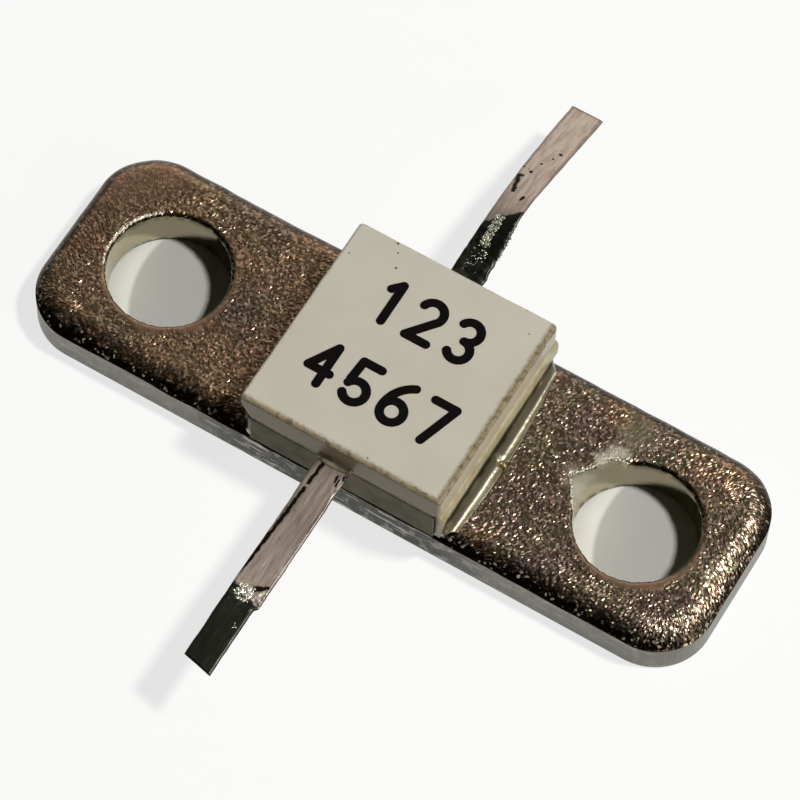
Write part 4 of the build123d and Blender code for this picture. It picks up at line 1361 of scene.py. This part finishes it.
class AttenuatorStage(bpy.types.Operator):
    """Set the floor, lamps, surroundings and camera"""

    bl_idname = "attenuator.stage"
    bl_label = "Stage"

    def execute(self, context):
        look = context.scene.stage_look
        signs = (-1, -1), (1, -1), (1, 1), (-1, 1)
        corners = [(x * FLOOR_HALF, y * FLOOR_HALF, FLOOR_LEVEL) for x, y in signs]
        white = paper("white_paper", "#F4F4F2", "#9E9C94", 0.75)
        floor = mesh_piece("floor", corners, [(0, 1, 2, 3)], white, False)
        # The card lies under the flange and shows only in its holes
        ring = [(x, y, CARD_LEVEL) for x, y in outline_ring(0.25, 0.2)]
        # The grey card carries a painted pool of light in each hole
        grey = paper("grey_card", "#B1B1AE", "#B1B1AE", 0.0, "#D6D8D5")
        card = mesh_piece("card", ring, [tuple(range(len(ring)))], grey, False)
        add_lamp("key_lamp", (0.425, 0.170, 0.889), 0.30, 0.032, look.key_level, "#FFFDF8")
        add_lamp("side_panel", (0.90, -0.10, 0.42), 0.35, 0.16, look.side_level, "#FFF9F2")
        build_world(look.world_level)
        data = bpy.data.cameras.new("camera")
        data.lens = look.lens
        data.sensor_width = 36.0
        data.clip_start = 0.005
        camera = bpy.data.objects.new("camera", data)
        context.scene.collection.objects.link(camera)
        # Solved on the outlines in the photograph: the camera's three axes and its place in metres
        right, up, back = (0.8592, 0.5112, 0.0219), (-0.46239, 0.75738, 0.46106), (0.2191, -0.40626, 0.8871)
        place = (0.024863, -0.046075, 0.101575)
        rows = [(*axes, at) for *axes, at in zip(right, up, back, place)]
        camera.matrix_world = Matrix(rows + [(0, 0, 0, 1)])
        context.scene.camera = camera
        context.scene.view_settings.view_transform = "Standard"
        return {"FINISHED"}


def add_lamp(name, direction, distance, size, level, colour):
    """A square lamp facing the part, whose level is the light it gives a surface that faces it."""
    data = bpy.data.lights.new(name, "AREA")
    data.size = size
    data.energy = level * (math.pi * distance) ** 2
    data.color = linear(colour)[:3]
    lamp = bpy.data.objects.new(name, data)
    bpy.context.scene.collection.objects.link(lamp)
    towards = Vector(direction).normalized()
    lamp.location = towards * distance
    lamp.rotation_mode = "QUATERNION"
    lamp.rotation_quaternion = towards.to_track_quat("Z", "Y")


def build_world(level):
    """Dim warm surroundings, darker in front where the viewer stands. Metal and glass see the pale
    backdrop behind the part, fading overhead; the camera sees it white all round."""
    world = bpy.data.worlds.new("surroundings")
    world.use_nodes = True
    world.node_tree.nodes.clear()
    bpy.context.scene.world = world
    add = partial(add_node, world.node_tree)
    direction = add("TexCoord", output=0)
    ahead = add("VectorMath", (direction, (-0.1, -0.93, 0.35)), {"operation": "DOT_PRODUCT"})
    dark = add("MapRange", (ahead, 0.35, 0.85, 1.0, 0.12), SMOOTH)
    strength = add("Math", (dark, level), MULTIPLY)
    around = add("Background", ("#FFF9F2", strength))
    behind = add("VectorMath", (direction, (-0.25, 0.95, 0.15)), {"operation": "DOT_PRODUCT"})
    behind = add("MapRange", (behind, 0.1, 0.95))
    pale = add("Math", (behind, 2.0), {"operation": "POWER"})
    pale = add("Math", (pale, 0.03), LARGER)
    backdrop = add("Background", ("#FFF6EA", pale))
    white = add("Background", ("#FFFFFF", 1.0))
    path = add("LightPath", output=None).outputs
    shiny = add("Math", (path["Is Glossy Ray"], path["Is Transmission Ray"]), LARGER)
    mixed = add("MixShader", (shiny, around, backdrop))
    mixed = add("MixShader", (path["Is Camera Ray"], mixed, white))
    add("OutputWorld", {"Surface": mixed}, output=None)


class AttenuatorPanel(bpy.types.Panel):
    """Steps and settings of the attenuator"""

    bl_idname = "ATTENUATOR_PT_steps"
    bl_label = "Attenuator"
    bl_space_type = "VIEW_3D"
    bl_region_type = "UI"
    bl_category = "Attenuator"

    def draw(self, context):
        for operator in OPERATORS:
            self.layout.operator(operator.bl_idname)
        for group in LOOKS:
            settings = getattr(context.scene, group)
            for name in settings.bl_rna.properties.keys():
                if name not in ("rna_type", "name"):
                    self.layout.prop(settings, name)


OPERATORS = [
    AttenuatorStage,
    AttenuatorFlange,
    AttenuatorSolder,
    AttenuatorCircuit,
    AttenuatorLid,
    AttenuatorAdhesive,
    AttenuatorLeads,
]
LOOKS = {"flange_look": FlangeLook, "lid_look": LidLook, "lead_look": LeadLook, "stage_look": StageLook}


def register():
    """Registers the settings, steps and panel."""
    for name, group in LOOKS.items():
        bpy.utils.register_class(group)
        setattr(bpy.types.Scene, name, PointerProperty(type=group))
    for made in (*OPERATORS, AttenuatorPanel):
        bpy.utils.register_class(made)


def unregister():
    """Takes them all out again."""
    for made in (AttenuatorPanel, *OPERATORS):
        bpy.utils.unregister_class(made)
    for name, group in LOOKS.items():
        delattr(bpy.types.Scene, name)
        bpy.utils.unregister_class(group)


def main():
    """Runs every step in order."""
    register()
    for operator in OPERATORS:
        step = operator.bl_idname.split(".")[1]
        getattr(bpy.ops.attenuator, step)()
    bpy.context.view_layer.update()


if __name__ == "__main__":
    main()
